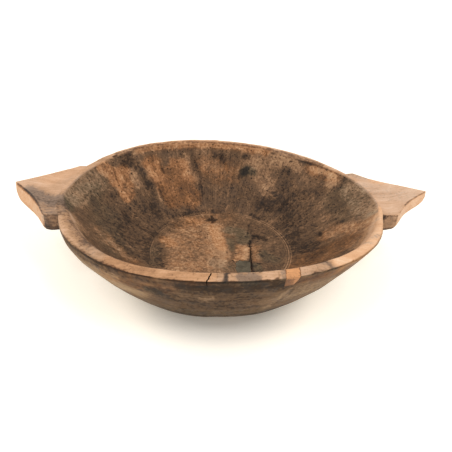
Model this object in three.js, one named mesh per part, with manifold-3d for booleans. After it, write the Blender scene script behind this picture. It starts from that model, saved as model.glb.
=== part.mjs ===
// A hand-carved wooden bowl: an oval basin with a flat worn lip, a wing-shaped lug handle at each end,
// a block let into the lip as a repair, and filler let into a flaw in the floor.
// Millimetres, +Z up. X runs from handle to handle, -Y is the front, and the origin is the middle
// of the flat underside.
import * as THREE from 'three';
import { mergeVertices } from 'three/addons/utils/BufferGeometryUtils.js';
import Module from 'manifold-3d';

const wasm = await Module();
wasm.setup();

// Basin
const rimLength = 400; // outside of the lip, along X
const rimWidth = 332; // outside of the lip, along Y
const rimHeight = 101; // mean height of the lip above the underside
const rimFullness = 2.12; // exponent of the rim's oval, where 2 is a true ellipse
const lipAtEnds = 7.5; // width of the lip beside the handles
const lipAtSides = 12.5; // width of the lip at the front and back
const lipBevel = 1.2; // worn edge along both sides of the lip
const undersideRadius = 97; // flat face that the bowl stands on
const undersideOffset = -6; // along X, from the middle of the rim
const wallPower = 1.9; // how fast the outer wall steepens, where 1 is a straight cone
const floorRadius = 90; // round floor of the basin
const floorThickness = 22; // wood under the middle of the floor
const floorDish = 3.5; // how far the floor sinks from its edge to its middle
const wallFoot = 0.45; // share of a straight cone in the inner wall, the rest is a parabola

// Drying warp of the lip, each as the height it adds on one side and takes from the other
const sideLift = 4.2; // front and back go up, both ends go down
const twist = 3.7; // back left and front right go up, the other two corners go down
const endTilt = 2.4; // left end goes up, right end goes down
const backTilt = 1.3; // back goes up, front goes down

// Handles. A reach is measured outwards from the end of the rim, a setback from the middle line to the back.
const leftHandle = {
  side: -1,
  tipReach: 61,
  tipSetback: 19,
  frontReach: 4,
  frontSetback: -45,
  backReach: -7,
  backSetback: 72,
  tipRise: 5,
  rootThickness: 22,
  tipThickness: 14,
};
const rightHandle = {
  side: 1,
  tipReach: 61,
  tipSetback: 24,
  frontReach: 13,
  frontSetback: -27,
  backReach: -17,
  backSetback: 89,
  tipRise: 11,
  rootThickness: 22,
  tipThickness: 10,
};
const endBulge = 1.5; // how far each handle's end face bows outwards
const handleBevel = 2; // worn edge round each handle

// Block let into the front of the lip, right of the middle
const patchStart = 65; // left joint, along X
const patchLength = 15; // along the lip
const patchDepth = 13; // below the mean lip height
const patchDraft = 5; // how far the right joint leans in towards the bottom

// Filler let into the floor beside the crack
const fillMiddleX = 30;
const fillMiddleY = -39;
const fillLength = 19; // along X
const fillWidth = 30; // along Y
const fillNotch = 5; // chipped corner at the back left
const fillDepth = 4;

const seamGap = 0.3; // clearance between pieces that are cut to each other
const weldDistance = 0.0001;

// Mesh resolution
const turnSteps = 72;
const outerSteps = 10;
const innerSteps = 9;
const floorSteps = 3;

const mix = (from, to, share) => from + (to - from) * share;

// Height that the drying warp adds to the lip at one angle of the oval
function warp(angle) {
  const across = -sideLift * Math.cos(2 * angle) - twist * Math.sin(2 * angle);
  return across - endTilt * Math.cos(angle) + backTilt * Math.sin(angle);
}

// Rings of the outer wall from the underside up to the lip, grown sideways by a clearance
function outerRings(clearance) {
  const rings = [{ rx: 0, ry: 0, z: 0, lift: 0, shift: undersideOffset }];
  for (let step = 0; step <= outerSteps; step++) {
    const share = step / outerSteps;
    rings.push({
      rx: mix(undersideRadius, rimLength / 2, share) + clearance,
      ry: mix(undersideRadius, rimWidth / 2, share) + clearance,
      z: (rimHeight - lipBevel) * share ** wallPower,
      lift: share ** wallPower,
      shift: mix(undersideOffset, 0, share),
    });
  }
  return rings;
}

// Rings of the lip, the inner wall and the floor, in to the middle
function innerRings() {
  const rx = rimLength / 2;
  const ry = rimWidth / 2;
  const floorEdge = floorThickness + floorDish;
  const rings = [
    { rx: rx - lipBevel, ry: ry - lipBevel, z: rimHeight, lift: 1, shift: 0 },
    { rx: rx - lipAtEnds + lipBevel, ry: ry - lipAtSides + lipBevel, z: rimHeight, lift: 1, shift: 0 },
  ];
  for (let step = innerSteps; step >= 0; step--) {
    const share = step / innerSteps;
    const climb = wallFoot * share + (1 - wallFoot) * share * share;
    rings.push({
      rx: mix(floorRadius, rx - lipAtEnds, share),
      ry: mix(floorRadius, ry - lipAtSides, share),
      z: mix(floorEdge, rimHeight - lipBevel, climb),
      lift: share,
      shift: 0,
    });
  }
  for (let step = floorSteps - 1; step >= 0; step--) {
    const share = step / floorSteps;
    rings.push({
      rx: floorRadius * share,
      ry: floorRadius * share,
      z: floorThickness + floorDish * share * share,
      lift: 0,
      shift: 0,
    });
  }
  return rings;
}

// Lathe through the rings, stretched from circles to the rim's oval and bent by the warp
function ovalLathe(rings) {
  const profile = rings.map((ring) => new THREE.Vector2(ring.rx, ring.z));
  const geometry = new THREE.LatheGeometry(profile, turnSteps);
  geometry.rotateX(Math.PI / 2);
  const position = geometry.attributes.position;
  for (let i = 0; i < position.count; i++) {
    const ring = rings[i % rings.length];
    const angle = Math.atan2(position.getY(i), position.getX(i));
    const power = mix(2, rimFullness, ring.lift);
    const across = Math.abs(Math.cos(angle)) ** power + Math.abs(Math.sin(angle)) ** power;
    const stretch = ring.rx > 0 ? across ** (-1 / power) : 0;
    position.setXYZ(
      i,
      ring.rx * stretch * Math.cos(angle) + ring.shift,
      ring.ry * stretch * Math.sin(angle),
      ring.z + ring.lift * warp(angle),
    );
  }
  return geometry;
}

function toSolid(geometry) {
  const bare = geometry.clone();
  bare.deleteAttribute('normal');
  bare.deleteAttribute('uv');
  const merged = mergeVertices(bare, weldDistance);
  const index = merged.index.array;
  const triangles = [];
  for (let i = 0; i < index.length; i += 3) {
    const [a, b, c] = index.slice(i, i + 3);
    if (a !== b && b !== c && c !== a) triangles.push(a, b, c);
  }
  return new wasm.Manifold(new wasm.Mesh({
    numProp: 3,
    vertProperties: new Float32Array(merged.attributes.position.array),
    triVerts: new Uint32Array(triangles),
  }));
}

function toGeometry(solid) {
  const mesh = solid.getMesh();
  const geometry = new THREE.BufferGeometry();
  geometry.setAttribute('position', new THREE.BufferAttribute(mesh.vertProperties, 3));
  geometry.setIndex(new THREE.BufferAttribute(mesh.triVerts, 1));
  geometry.computeVertexNormals();
  return geometry;
}

// The basin as if it were carved from one block, before anything is let into it
function wholeBasin() {
  return toSolid(ovalLathe([...outerRings(0), ...innerRings()]));
}

// Everything inside the outer wall, and above it, with the seam's clearance
function basinCutter() {
  const rings = outerRings(seamGap);
  const rim = rings[rings.length - 1];
  const top = 2 * rimHeight;
  rings.push({ ...rim, z: top });
  rings.push({ rx: 0, ry: 0, z: top, lift: 0, shift: 0 });
  return toSolid(ovalLathe(rings));
}

// Wing-shaped slab whose top runs on from the lip and rises to the tip. Its blank starts at the bowl's
// middle, and what lies inside the basin is then cut away.
function handleSolid(handle) {
  const { side, tipReach, tipSetback, frontSetback, backSetback } = handle;
  const rimEnd = rimLength / 2;
  const tipX = rimEnd + tipReach;
  const frontX = rimEnd + handle.frontReach;
  const backX = rimEnd + handle.backReach;
  const endRun = Math.hypot(tipX - frontX, tipSetback - frontSetback);
  const bowX = (tipX + frontX) / 2 + 2 * endBulge * (tipSetback - frontSetback) / endRun;
  const bowY = (tipSetback + frontSetback) / 2 - 2 * endBulge * (tipX - frontX) / endRun;

  const plan = new THREE.Shape();
  plan.moveTo(0, frontSetback);
  plan.lineTo(side * frontX, frontSetback);
  plan.quadraticCurveTo(side * bowX, bowY, side * tipX, tipSetback);
  plan.lineTo(side * backX, backSetback);
  plan.lineTo(0, backSetback);
  plan.closePath();

  // The blank is one unit high, so that a vertex's height is its share of the local thickness
  const bevelShare = handleBevel / handle.rootThickness;
  const blank = new THREE.ExtrudeGeometry(plan, {
    depth: 1 - 2 * bevelShare,
    bevelEnabled: true,
    bevelThickness: bevelShare,
    bevelSize: handleBevel,
    bevelOffset: -handleBevel,
    bevelSegments: 2,
    curveSegments: 8,
  });
  blank.translate(0, 0, bevelShare);

  const position = blank.attributes.position;
  for (let i = 0; i < position.count; i++) {
    const x = position.getX(i);
    const y = position.getY(i);
    const outwards = THREE.MathUtils.clamp((side * x - rimEnd) / tipReach, 0, 1);
    const top = rimHeight + warp(Math.atan2(y / rimWidth, x / rimLength)) + handle.tipRise * outwards;
    const thickness = mix(handle.rootThickness, handle.tipThickness, outwards);
    position.setZ(i, top - thickness * (1 - position.getZ(i)));
  }
  return toSolid(blank).subtract(basinCutter());
}

// A block and the slightly larger pocket that it sits in, both extruded from one outline
function letIn(outline, depth, place) {
  const block = new THREE.ExtrudeGeometry(outline, { depth, bevelEnabled: false });
  const pocket = new THREE.ExtrudeGeometry(outline, {
    depth,
    bevelEnabled: true,
    bevelThickness: seamGap,
    bevelSize: seamGap,
    bevelSegments: 1,
  });
  place(block);
  place(pocket);
  return { block: toSolid(block), pocket: toSolid(pocket) };
}

// Outline seen from the front, pushed through the wall from outside the lip to inside the basin
function patchBlock() {
  const patchEnd = patchStart + patchLength;
  const bottom = rimHeight - patchDepth;
  const top = rimHeight + patchDepth;
  const outline = new THREE.Shape();
  outline.moveTo(patchStart, bottom);
  outline.lineTo(patchEnd - patchDraft, bottom);
  outline.lineTo(patchEnd, rimHeight);
  outline.lineTo(patchEnd, top);
  outline.lineTo(patchStart, top);
  outline.closePath();
  const through = rimWidth / 2;
  return letIn(outline, through, (geometry) => {
    geometry.rotateX(Math.PI / 2);
    geometry.translate(0, -through / 2, 0);
  });
}

// Outline seen from above, sunk into the floor and cut flush with it
function fillBlock() {
  const left = fillMiddleX - fillLength / 2;
  const right = fillMiddleX + fillLength / 2;
  const front = fillMiddleY - fillWidth / 2;
  const back = fillMiddleY + fillWidth / 2;
  const outline = new THREE.Shape();
  outline.moveTo(left, front + fillNotch);
  outline.lineTo(left + fillNotch, front);
  outline.lineTo(right, front);
  outline.lineTo(right, back - fillNotch / 2);
  outline.lineTo(left + fillNotch, back);
  outline.lineTo(left, back - fillNotch);
  outline.closePath();
  const height = fillDepth + floorDish;
  return letIn(outline, height, (geometry) => {
    geometry.translate(0, 0, floorThickness - fillDepth);
  });
}

const darkWood = { color: 0x6b5440, roughness: 0.72, metalness: 0 };
const paleWood = { color: 0xc9a27c, roughness: 0.66, metalness: 0 };
const orangeWood = { color: 0xdba06e, roughness: 0.62, metalness: 0 };
const greyFiller = { color: 0x5a5a4c, roughness: 0.85, metalness: 0 };

const bowl = new THREE.Group();
bowl.name = 'carved_bowl';

function addPiece(name, solid, finish) {
  const mesh = new THREE.Mesh(toGeometry(solid), new THREE.MeshStandardMaterial(finish));
  mesh.name = name;
  bowl.add(mesh);
}

const basin = wholeBasin();
const patch = patchBlock();
const fill = fillBlock();

addPiece('bowl_body', basin.subtract(patch.pocket).subtract(fill.pocket), darkWood);
addPiece('left_handle', handleSolid(leftHandle), paleWood);
addPiece('right_handle', handleSolid(rightHandle), paleWood);
addPiece('rim_patch', basin.intersect(patch.block), orangeWood);
addPiece('floor_fill', basin.intersect(fill.block), greyFiller);

export default bowl;
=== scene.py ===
# A hand-carved wooden bowl with two lug handles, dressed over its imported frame. Lengths are in metres.
import math
import bmesh
import bpy
import numpy as np
from mathutils import Matrix, Vector, kdtree, noise


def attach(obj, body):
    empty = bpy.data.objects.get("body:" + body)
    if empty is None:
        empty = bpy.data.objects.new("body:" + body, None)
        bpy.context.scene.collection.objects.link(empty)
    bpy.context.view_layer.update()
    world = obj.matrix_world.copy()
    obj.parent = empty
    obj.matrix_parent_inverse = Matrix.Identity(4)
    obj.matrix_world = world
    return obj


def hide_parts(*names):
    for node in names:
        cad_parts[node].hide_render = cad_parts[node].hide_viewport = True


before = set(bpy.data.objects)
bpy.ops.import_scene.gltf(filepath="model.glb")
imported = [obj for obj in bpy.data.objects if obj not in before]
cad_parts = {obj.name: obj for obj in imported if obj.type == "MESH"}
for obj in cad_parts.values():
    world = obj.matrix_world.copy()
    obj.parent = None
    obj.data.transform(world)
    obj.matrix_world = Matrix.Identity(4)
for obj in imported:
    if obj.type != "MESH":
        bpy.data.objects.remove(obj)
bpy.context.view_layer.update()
print("frame loaded with", len(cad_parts), "nodes")

mm = 0.001


def mix(start, end, share):
    return start + (end - start) * share


def smoothStep(low, high, value):
    share = np.clip((value - low) / (high - low), 0.0, 1.0)
    return share * share * (3.0 - 2.0 * share)


# Shader helpers

def tint(hexColour):
    channels = [int(hexColour[i:i + 2], 16) / 255 for i in (0, 2, 4)]
    linear = [c / 12.92 if c <= 0.04045 else ((c + 0.055) / 1.055) ** 2.4 for c in channels]
    return (*linear, 1.0)


def feed(tree, made, inputs):  # links sockets, and sets plain values
    for socket, value in inputs.items():
        if isinstance(value, bpy.types.NodeSocket):
            tree.links.new(value, made.inputs[socket])
        else:
            made.inputs[socket].default_value = value


def addNode(tree, kind, inputs=None, **settings):
    made = tree.nodes.new("ShaderNode" + kind)
    for name, value in settings.items():
        setattr(made, name, value)
    feed(tree, made, inputs or {})
    return made


def calc(tree, operation, first, second=0.0, third=0.0):
    return addNode(tree, "Math", {0: first, 1: second, 2: third}, operation=operation).outputs[0]


def blend(tree, factor, first, second):
    return addNode(tree, "Mix", {0: factor, 6: first, 7: second}, data_type="RGBA").outputs[2]


def stretch(tree, vector, scale):
    return addNode(tree, "VectorMath", {0: vector, 1: scale}, operation="MULTIPLY").outputs[0]


def noiseAt(tree, vector, size, detail=3.0, roughness=0.55, distortion=0.0):
    values = {"Vector": vector, "Scale": 1.0 / size, "Detail": detail, "Roughness": roughness}
    values["Distortion"] = distortion
    return addNode(tree, "TexNoise", values).outputs["Fac"]


def levels(tree, value, low, high, newLow=0.0, newHigh=1.0, kind="SMOOTHSTEP"):
    values = {"Value": value, "From Min": low, "From Max": high, "To Min": newLow, "To Max": newHigh}
    return addNode(tree, "MapRange", values, interpolation_type=kind).outputs[0]


def weigh(tree, start, parts):  # start plus each value times its weight, noise counted from its middle
    total = start
    for value, weight, middle in parts:
        total = calc(tree, "MULTIPLY_ADD", value, weight, calc(tree, "ADD", total, -middle * weight))
    return total


def ramp(tree, value, name):  # from the darkest to the lightest colour of a wood
    stops = woodColours[name]
    made = addNode(tree, "ValToRGB", {0: value})
    bar = made.color_ramp
    while len(bar.elements) < len(stops):
        bar.elements.new(0.5)
    for element, (place, colour) in zip(bar.elements, stops):
        element.position = place
        element.color = tint(colour)
    return made.outputs["Color"]


def newGroup(name, inputs, outputs):
    group = bpy.data.node_groups.new(name, "ShaderNodeTree")
    for socket, kind in inputs.items():
        group.interface.new_socket(socket, in_out="INPUT", socket_type="NodeSocket" + kind)
    for socket, kind in outputs.items():
        group.interface.new_socket(socket, in_out="OUTPUT", socket_type="NodeSocket" + kind)
    entry = group.nodes.new("NodeGroupInput").outputs
    result = group.nodes.new("NodeGroupOutput")
    return group, entry, result


def placeGroup(tree, group, inputs):
    return addNode(tree, "Group", inputs, node_tree=group).outputs


def newMaterial(name):
    material = bpy.data.materials.new(name)
    material.use_nodes = True
    tree = material.node_tree
    shader = tree.nodes["Principled BSDF"]
    coords = addNode(tree, "TexCoord").outputs["Object"]
    return material, tree, shader, coords


def finishMaterial(tree, shader, finish, colour, roughness, height):
    depth, strength = finish["relief"]
    bump = addNode(tree, "Bump", {"Height": height, "Distance": depth, "Strength": strength})
    feed(tree, shader, {"Base Color": colour, "Roughness": roughness, "Normal": bump.outputs["Normal"]})
    shader.inputs["Specular IOR Level"].default_value = finish["gloss"]


def directlySeen(tree):  # 1 where the camera looks, straight on, in a reflection or through glass
    rays = addNode(tree, "LightPath").outputs
    seen = calc(tree, "MAXIMUM", rays["Is Camera Ray"], rays["Is Glossy Ray"])
    return calc(tree, "MAXIMUM", seen, rays["Is Transmission Ray"])


def readPaint(tree, name):  # four painted masks
    attribute = addNode(tree, "Attribute", attribute_name=name)
    split = addNode(tree, "SeparateColor", {0: attribute.outputs["Color"]})
    return [split.outputs[0], split.outputs[1], split.outputs[2], attribute.outputs["Alpha"]]


# Colours of each wood, from its darkest to its lightest fibres
wallStops = (0.0, 0.2, 0.42, 0.62, 0.82, 1.0)
woodColours = {
    "rubbed": [
        (0.0, "3f2e22"), (0.22, "7c5c45"), (0.45, "b78d69"),
        (0.62, "d1a683"), (0.8, "e0b999"), (1.0, "eed2b8"),
    ],
    "rubbedWarm": [(0.0, "4a2d1a"), (0.25, "8d5f3c"), (0.5, "cc9467"), (0.75, "e7b285"), (1.0, "f5cda6")],
    "rubbedGrey": [(0.0, "332a24"), (0.3, "6b5748"), (0.6, "947b67"), (1.0, "c2aa95")],
    "inside": list(zip(wallStops, ("211811", "443326", "6a503a", "936f51", "b58d69", "d2ae88"))),
    "insideWarm": list(zip(wallStops, ("28190f", "4f3521", "7c5434", "a8744c", "c7956a", "dfb78f"))),
    "insideGrey": list(zip(wallStops, ("1f1a15", "40372b", "65553f", "877159", "a89074", "c4af93"))),
    "outside": list(zip(wallStops, ("21180f", "453323", "6f563f", "937557", "b1926f", "ccae8b"))),
    "outsideWarm": [(0.0, "2a1a12"), (0.3, "644128"), (0.6, "9c6e46"), (1.0, "cc9e70")],
    "patch": [(0.0, "4a2c1a"), (0.3, "99673f"), (0.6, "d99a66"), (1.0, "efbd8c")],
    "filler": [(0.0, "231e17"), (0.5, "574d3d"), (1.0, "7d725e")],
    "crack": [(0.3, "0d0a07"), (0.7, "271c14")],
}

# Effects that several finishes share

def makeBrokenPaint():  # lets painted stains, and painted shade and light, soak in grain by grain
    group, entry, result = newGroup(
        "brokenPaint",
        {"Vector": "Vector", "Mask": "Float", "Break": "Float", "Grain": "Float"},
        {"Mask": "Float"},
    )
    grain = addNode(group, "TexNoise", {"Vector": entry["Vector"], "Scale": entry["Grain"], "Detail": 3.0})
    spread = levels(group, grain.outputs["Fac"], 0.28, 0.72, kind="LINEAR")
    edge = calc(group, "SUBTRACT", 1.0, entry["Mask"])
    lower = calc(group, "SUBTRACT", edge, 0.22)
    upper = calc(group, "ADD", edge, 0.22)
    soaked = levels(group, spread, lower, upper)
    shown = addNode(group, "Mix", {0: entry["Break"], 2: entry["Mask"], 3: soaked}, data_type="FLOAT")
    group.links.new(shown.outputs[0], result.inputs["Mask"])
    return group


def makePores():  # short dark pores that lie along the fibres
    group, entry, result = newGroup(
        "woodPores",
        {"Vector": "Vector", "Size": "Float", "Cover": "Float"},
        {"Mask": "Float"},
    )
    scale = calc(group, "DIVIDE", 1.0, entry["Size"])
    pores = addNode(group, "TexNoise", {"Vector": entry["Vector"], "Scale": scale, "Detail": 2.0})
    start = calc(group, "SUBTRACT", 0.74, entry["Cover"])
    mask = levels(group, pores.outputs["Fac"], start, calc(group, "ADD", start, 0.1))
    group.links.new(mask, result.inputs["Mask"])
    return group


brokenPaint = makeBrokenPaint()
woodPores = makePores()


def brokenMask(tree, place, mask, broken, grain):
    values = {"Vector": place, "Mask": mask, "Break": broken, "Grain": grain}
    return placeGroup(tree, brokenPaint, values)["Mask"]


def poreMask(tree, place, size, cover):
    return placeGroup(tree, woodPores, {"Vector": place, "Size": size, "Cover": cover})["Mask"]


def makePaleWood():  # dry rubbed wood of the lip and the handles
    group, entry, result = newGroup(
        "paleWood",
        {"Vector": "Vector", "Dark": "Float", "Warm": "Float", "Pale": "Float", "Grey": "Float"},
        {"Color": "Color", "Height": "Float", "Roughness": "Float"},
    )
    place = entry["Vector"]
    along = stretch(group, place, (0.12, 1.0, 1.0))
    fibres = noiseAt(group, along, 2.2 * mm, 5.0, 0.62)
    bands = noiseAt(group, along, 9 * mm, 3.0, 0.5, 0.6)
    blotch = noiseAt(group, place, 26 * mm, 3.0)
    speck = noiseAt(group, place, 1.7 * mm, 2.0)
    dark = brokenMask(group, place, entry["Dark"], 0.3, 300.0)
    grey = brokenMask(group, place, entry["Grey"], 0.4, 260.0)
    pit = poreMask(group, stretch(group, place, (0.3, 1, 1)), 1.5 * mm, 0.02)
    value = weigh(group, 0.56, [
        (fibres, 0.42, 0.5),
        (bands, 0.40, 0.5),
        (blotch, 0.45, 0.5),
        (speck, 0.22, 0.5),
        (dark, -0.55, 0.0),
        (entry["Pale"], 0.26, 0.0),
        (pit, -0.22, 0.0),
    ])
    colour = blend(group, entry["Warm"], ramp(group, value, "rubbed"), ramp(group, value, "rubbedWarm"))
    colour = blend(group, grey, colour, ramp(group, value, "rubbedGrey"))
    height = weigh(group, 0.5, [(fibres, 0.5, 0.5), (speck, 0.25, 0.5), (pit, -0.5, 0.0)])
    group.links.new(colour, result.inputs["Color"])
    group.links.new(height, result.inputs["Height"])
    group.links.new(levels(group, blotch, 0.3, 0.7, 0.52, 0.7), result.inputs["Roughness"])
    return group


paleWood = makePaleWood()


def rubbedWood(tree, place, stainsAndPaintedLight):
    named = dict(zip(("Dark", "Warm", "Pale", "Grey"), stainsAndPaintedLight))
    return placeGroup(tree, paleWood, {"Vector": place} | named)


# Finishes, each with the depth and strength of its bump, and its gloss
bowlFinish = {"relief": (0.6 * mm, 0.7), "gloss": 0.14}
handleFinish = {"relief": (0.5 * mm, 0.6), "gloss": 0.3}
patchFinish = {"relief": (0.4 * mm, 0.5), "gloss": 0.3}
fillerFinish = {"relief": (0.4 * mm, 0.5), "gloss": 0.25}
crackFinish = {"relief": (0.4 * mm, 0.5), "gloss": 0.1}
# thin pale rings where the floor meets the wall, tool marks with a painted highlight along the floor's step:
# distance from the floor's edge, and strength
floorRings = [(0.5 * mm, 1.0), (3.5 * mm, 0.7), (-2.5 * mm, 0.4)]


def makeBowlWood():
    material, tree, shader, place = newMaterial("bowlWood")
    inside, lip, floor = readPaint(tree, "zones")[:3]
    stainsAndPaintedLight = readPaint(tree, "stainsAndPaintedLight")
    dark, warm, pale, grey = stainsAndPaintedLight

    # fibres run up the wall, along the floor, and round the outside
    split = addNode(tree, "SeparateXYZ", {0: place}).outputs
    flat = addNode(tree, "CombineXYZ", {0: split[0], 1: split[1]}).outputs[0]
    around = addNode(tree, "VectorMath", {0: flat}, operation="NORMALIZE").outputs[0]
    rise = addNode(tree, "CombineXYZ", {2: split[2]}).outputs[0]
    slowRise = stretch(tree, rise, (0, 0, 0.10))

    def slanted(slope):  # leans the fibres round the bowl as they climb
        lean = calc(tree, "MULTIPLY", split[2], slope)
        turned = addNode(tree, "VectorRotate", {"Vector": around, "Angle": lean}, rotation_type="Z_AXIS")
        ringed = stretch(tree, turned.outputs[0], (0.15, 0.15, 0.15))
        return addNode(tree, "VectorMath", {0: ringed, 1: slowRise}).outputs[0]

    roundWall = addNode(tree, "VectorMath", {0: stretch(tree, around, (0.012,) * 3), 1: rise}).outputs[0]
    carved = blend(tree, floor, slanted(0.6), stretch(tree, place, (0.85, 1.0, 1.0)))

    blotch = noiseAt(tree, place, 34 * mm, 4.0, 0.6, 0.5)
    mottle = noiseAt(tree, place, 11 * mm, 5.0, 0.62, 0.6)
    speckle = noiseAt(tree, place, 2.8 * mm, 3.0, 0.65)
    fibres = noiseAt(tree, carved, 2.4 * mm, 4.0, 0.6)
    streaks = noiseAt(tree, carved, 8 * mm, 3.0, 0.55, 0.5)
    leftward = levels(tree, noiseAt(tree, slanted(9.0), 2.0 * mm, 2.0, 0.5, 0.3), 0.6, 0.74)
    rightward = levels(tree, noiseAt(tree, slanted(-7.0), 2.2 * mm, 2.0, 0.5, 0.3), 0.6, 0.74)
    rounds = noiseAt(tree, roundWall, 3.2 * mm, 4.0, 0.6)
    roundBands = noiseAt(tree, roundWall, 12 * mm, 3.0, 0.5, 0.6)
    pit = poreMask(tree, place, 2.2 * mm, 0.08)

    # the rings are broken by noise, and whole on the right
    fromFloor = addNode(tree, "VectorMath", {0: flat, 1: (0, basin["floorForward"], 0)}).outputs[0]
    radius = addNode(tree, "VectorMath", {0: fromFloor}, operation="LENGTH").outputs["Value"]
    rings = 0.0
    for step, amount in floorRings:
        away = calc(tree, "ABSOLUTE", calc(tree, "SUBTRACT", radius, basin["floorRadius"] + step))
        rings = calc(tree, "MAXIMUM", rings, levels(tree, away, 0.9 * mm, 0.2 * mm, 0.0, amount))
    broken = levels(tree, noiseAt(tree, place, 30 * mm, 3.0), 0.40, 0.60, 0.0, 0.7)
    toRight = levels(tree, split[0], 0.01, 0.045)
    toBack = levels(tree, split[1], -0.09, -0.06)
    shown = calc(tree, "MAXIMUM", broken, calc(tree, "MULTIPLY", toRight, toBack))
    low = levels(tree, split[2], 0.036, 0.030)
    rings = calc(tree, "MULTIPLY", calc(tree, "MULTIPLY", rings, low), shown)

    def hairlines(vector, size, width):  # thin wandering lines, where the mottling is pale
        level = noiseAt(tree, vector, size, 2.0, 0.5, 0.4)
        line = levels(tree, calc(tree, "ABSOLUTE", calc(tree, "SUBTRACT", level, 0.5)), width, width * 0.3)
        return calc(tree, "MULTIPLY", line, levels(tree, mottle, 0.46, 0.6))

    specks = poreMask(tree, place, 2.4 * mm, 0.13)
    pitted = calc(tree, "MULTIPLY", specks, levels(tree, split[1], -0.02, 0.07, 0.5, 1.6))
    paleHairs = hairlines(stretch(tree, place, (1.0, 1.0, 0.6)), 13 * mm, 0.012)
    darkHairs = hairlines(slanted(3.0), 7 * mm, 0.016)
    # the dark paint holds stains and painted shade, the pale paint wear and painted light
    darkPaint = brokenMask(tree, place, dark, 0.45, 230.0)
    palePaint = brokenMask(tree, place, pale, 0.42, 260.0)
    glow = brokenMask(tree, place, warm, 0.35, 120.0)
    film = brokenMask(tree, place, grey, 0.2, 140.0)

    insideValue = weigh(tree, 0.42, [
        (blotch, 0.35, 0.5),
        (mottle, 0.50, 0.5),
        (speckle, 0.50, 0.5),
        (fibres, 0.38, 0.5),
        (streaks, 0.32, 0.5),
        (leftward, -0.13, 0.0),
        (rightward, 0.17, 0.0),
        (rings, 0.28, 0.0),
        (paleHairs, 0.14, 0.0),
        (darkHairs, -0.14, 0.0),
        (pit, -0.12, 0.0),
        (pitted, -0.34, 0.0),
        (darkPaint, -0.32, 0.0),
        (calc(tree, "POWER", dark, 6.0), -0.1, 0.0),
        (palePaint, 0.36, 0.0),
    ])
    browned = ramp(tree, insideValue, "inside")
    reddened = ramp(tree, insideValue, "insideWarm")
    greyed = ramp(tree, insideValue, "insideGrey")
    insideColour = blend(tree, film, blend(tree, glow, browned, reddened), greyed)

    outsideValue = weigh(tree, 0.44, [
        (blotch, 0.40, 0.5),
        (mottle, 0.40, 0.5),
        (speckle, 0.28, 0.5),
        (rounds, 0.45, 0.5),
        (roundBands, 0.45, 0.5),
        (darkPaint, -0.34, 0.0),
        (palePaint, 0.34, 0.0),
    ])
    weathered = ramp(tree, outsideValue, "outside")
    ruddy = ramp(tree, outsideValue, "outsideWarm")
    outsideColour = blend(tree, film, blend(tree, glow, weathered, ruddy), greyed)

    rubbed = rubbedWood(tree, place, stainsAndPaintedLight)
    wallColour = blend(tree, inside, outsideColour, insideColour)
    colour = blend(tree, lip, wallColour, rubbed["Color"])

    insideHeight = weigh(tree, 0.5, [(speckle, 0.6, 0.5), (fibres, 0.6, 0.5), (pit, -0.4, 0.0)])
    outsideHeight = weigh(tree, 0.5, [(speckle, 0.3, 0.5), (rounds, 0.5, 0.5)])
    wallHeight = addNode(tree, "Mix", {0: inside, 2: outsideHeight, 3: insideHeight}).outputs[0]
    height = addNode(tree, "Mix", {0: lip, 2: wallHeight, 3: rubbed["Height"]}).outputs[0]
    finishMaterial(tree, shader, bowlFinish, colour, levels(tree, mottle, 0.3, 0.7, 0.5, 0.78), height)
    return material


def makeHandleWood():
    material, tree, shader, place = newMaterial("handleWood")
    rubbed = rubbedWood(tree, place, readPaint(tree, "stainsAndPaintedLight"))
    finishMaterial(tree, shader, handleFinish, rubbed["Color"], rubbed["Roughness"], rubbed["Height"])
    return material


def makePatchWood():
    material, tree, shader, place = newMaterial("patchWood")
    dark = readPaint(tree, "stainsAndPaintedLight")[0]
    along = stretch(tree, place, (0.15, 1.0, 1.0))
    fibres = noiseAt(tree, along, 1.6 * mm, 4.0, 0.6)
    blotch = noiseAt(tree, place, 9 * mm, 3.0)
    pit = poreMask(tree, along, 1.2 * mm, 0.03)
    darkPaint = brokenMask(tree, place, dark, 0.4, 500.0)
    value = weigh(tree, 0.6, [
        (fibres, 0.35, 0.5),
        (blotch, 0.35, 0.5),
        (pit, -0.2, 0.0),
        (darkPaint, -0.45, 0.0),
    ])
    colour = ramp(tree, value, "patch")
    height = weigh(tree, 0.5, [(fibres, 0.5, 0.5), (pit, -0.4, 0.0)])
    finishMaterial(tree, shader, patchFinish, colour, levels(tree, blotch, 0.3, 0.7, 0.5, 0.66), height)
    return material


def makeFiller():
    material, tree, shader, place = newMaterial("greyFiller")
    blotch = noiseAt(tree, place, 8 * mm, 3.0)
    grit = noiseAt(tree, place, 1.1 * mm, 3.0, 0.65)
    pit = poreMask(tree, place, 1.4 * mm, 0.03)
    value = weigh(tree, 0.53, [(blotch, 1.1, 0.5), (grit, 0.8, 0.5), (pit, -0.3, 0.0)])
    colour = ramp(tree, value, "filler")
    height = weigh(tree, 0.5, [(grit, 0.5, 0.5), (pit, -0.6, 0.0)])
    finishMaterial(tree, shader, fillerFinish, colour, levels(tree, grit, 0.3, 0.7, 0.7, 0.9), height)
    return material


def makeCrackWood():
    material, tree, shader, place = newMaterial("crackWood")
    along = stretch(tree, place, (1.0, 1.0, 0.3))
    fibres = noiseAt(tree, along, 1.5 * mm, 4.0, 0.6)
    colour = ramp(tree, fibres, "crack")
    finishMaterial(tree, shader, crackFinish, colour, levels(tree, fibres, 0.3, 0.7, 0.8, 0.95), fibres)
    return material


# Mesh helpers

def newObject(name, bm, *materials):
    mesh = bpy.data.meshes.new(name)
    bm.to_mesh(mesh)
    bm.free()
    return placeMesh(name, mesh, *materials)


def placeMesh(name, mesh, *materials):
    for material in materials:
        mesh.materials.append(material)
    piece = bpy.data.objects.new(name, mesh)
    bpy.context.scene.collection.objects.link(piece)
    return piece


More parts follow.
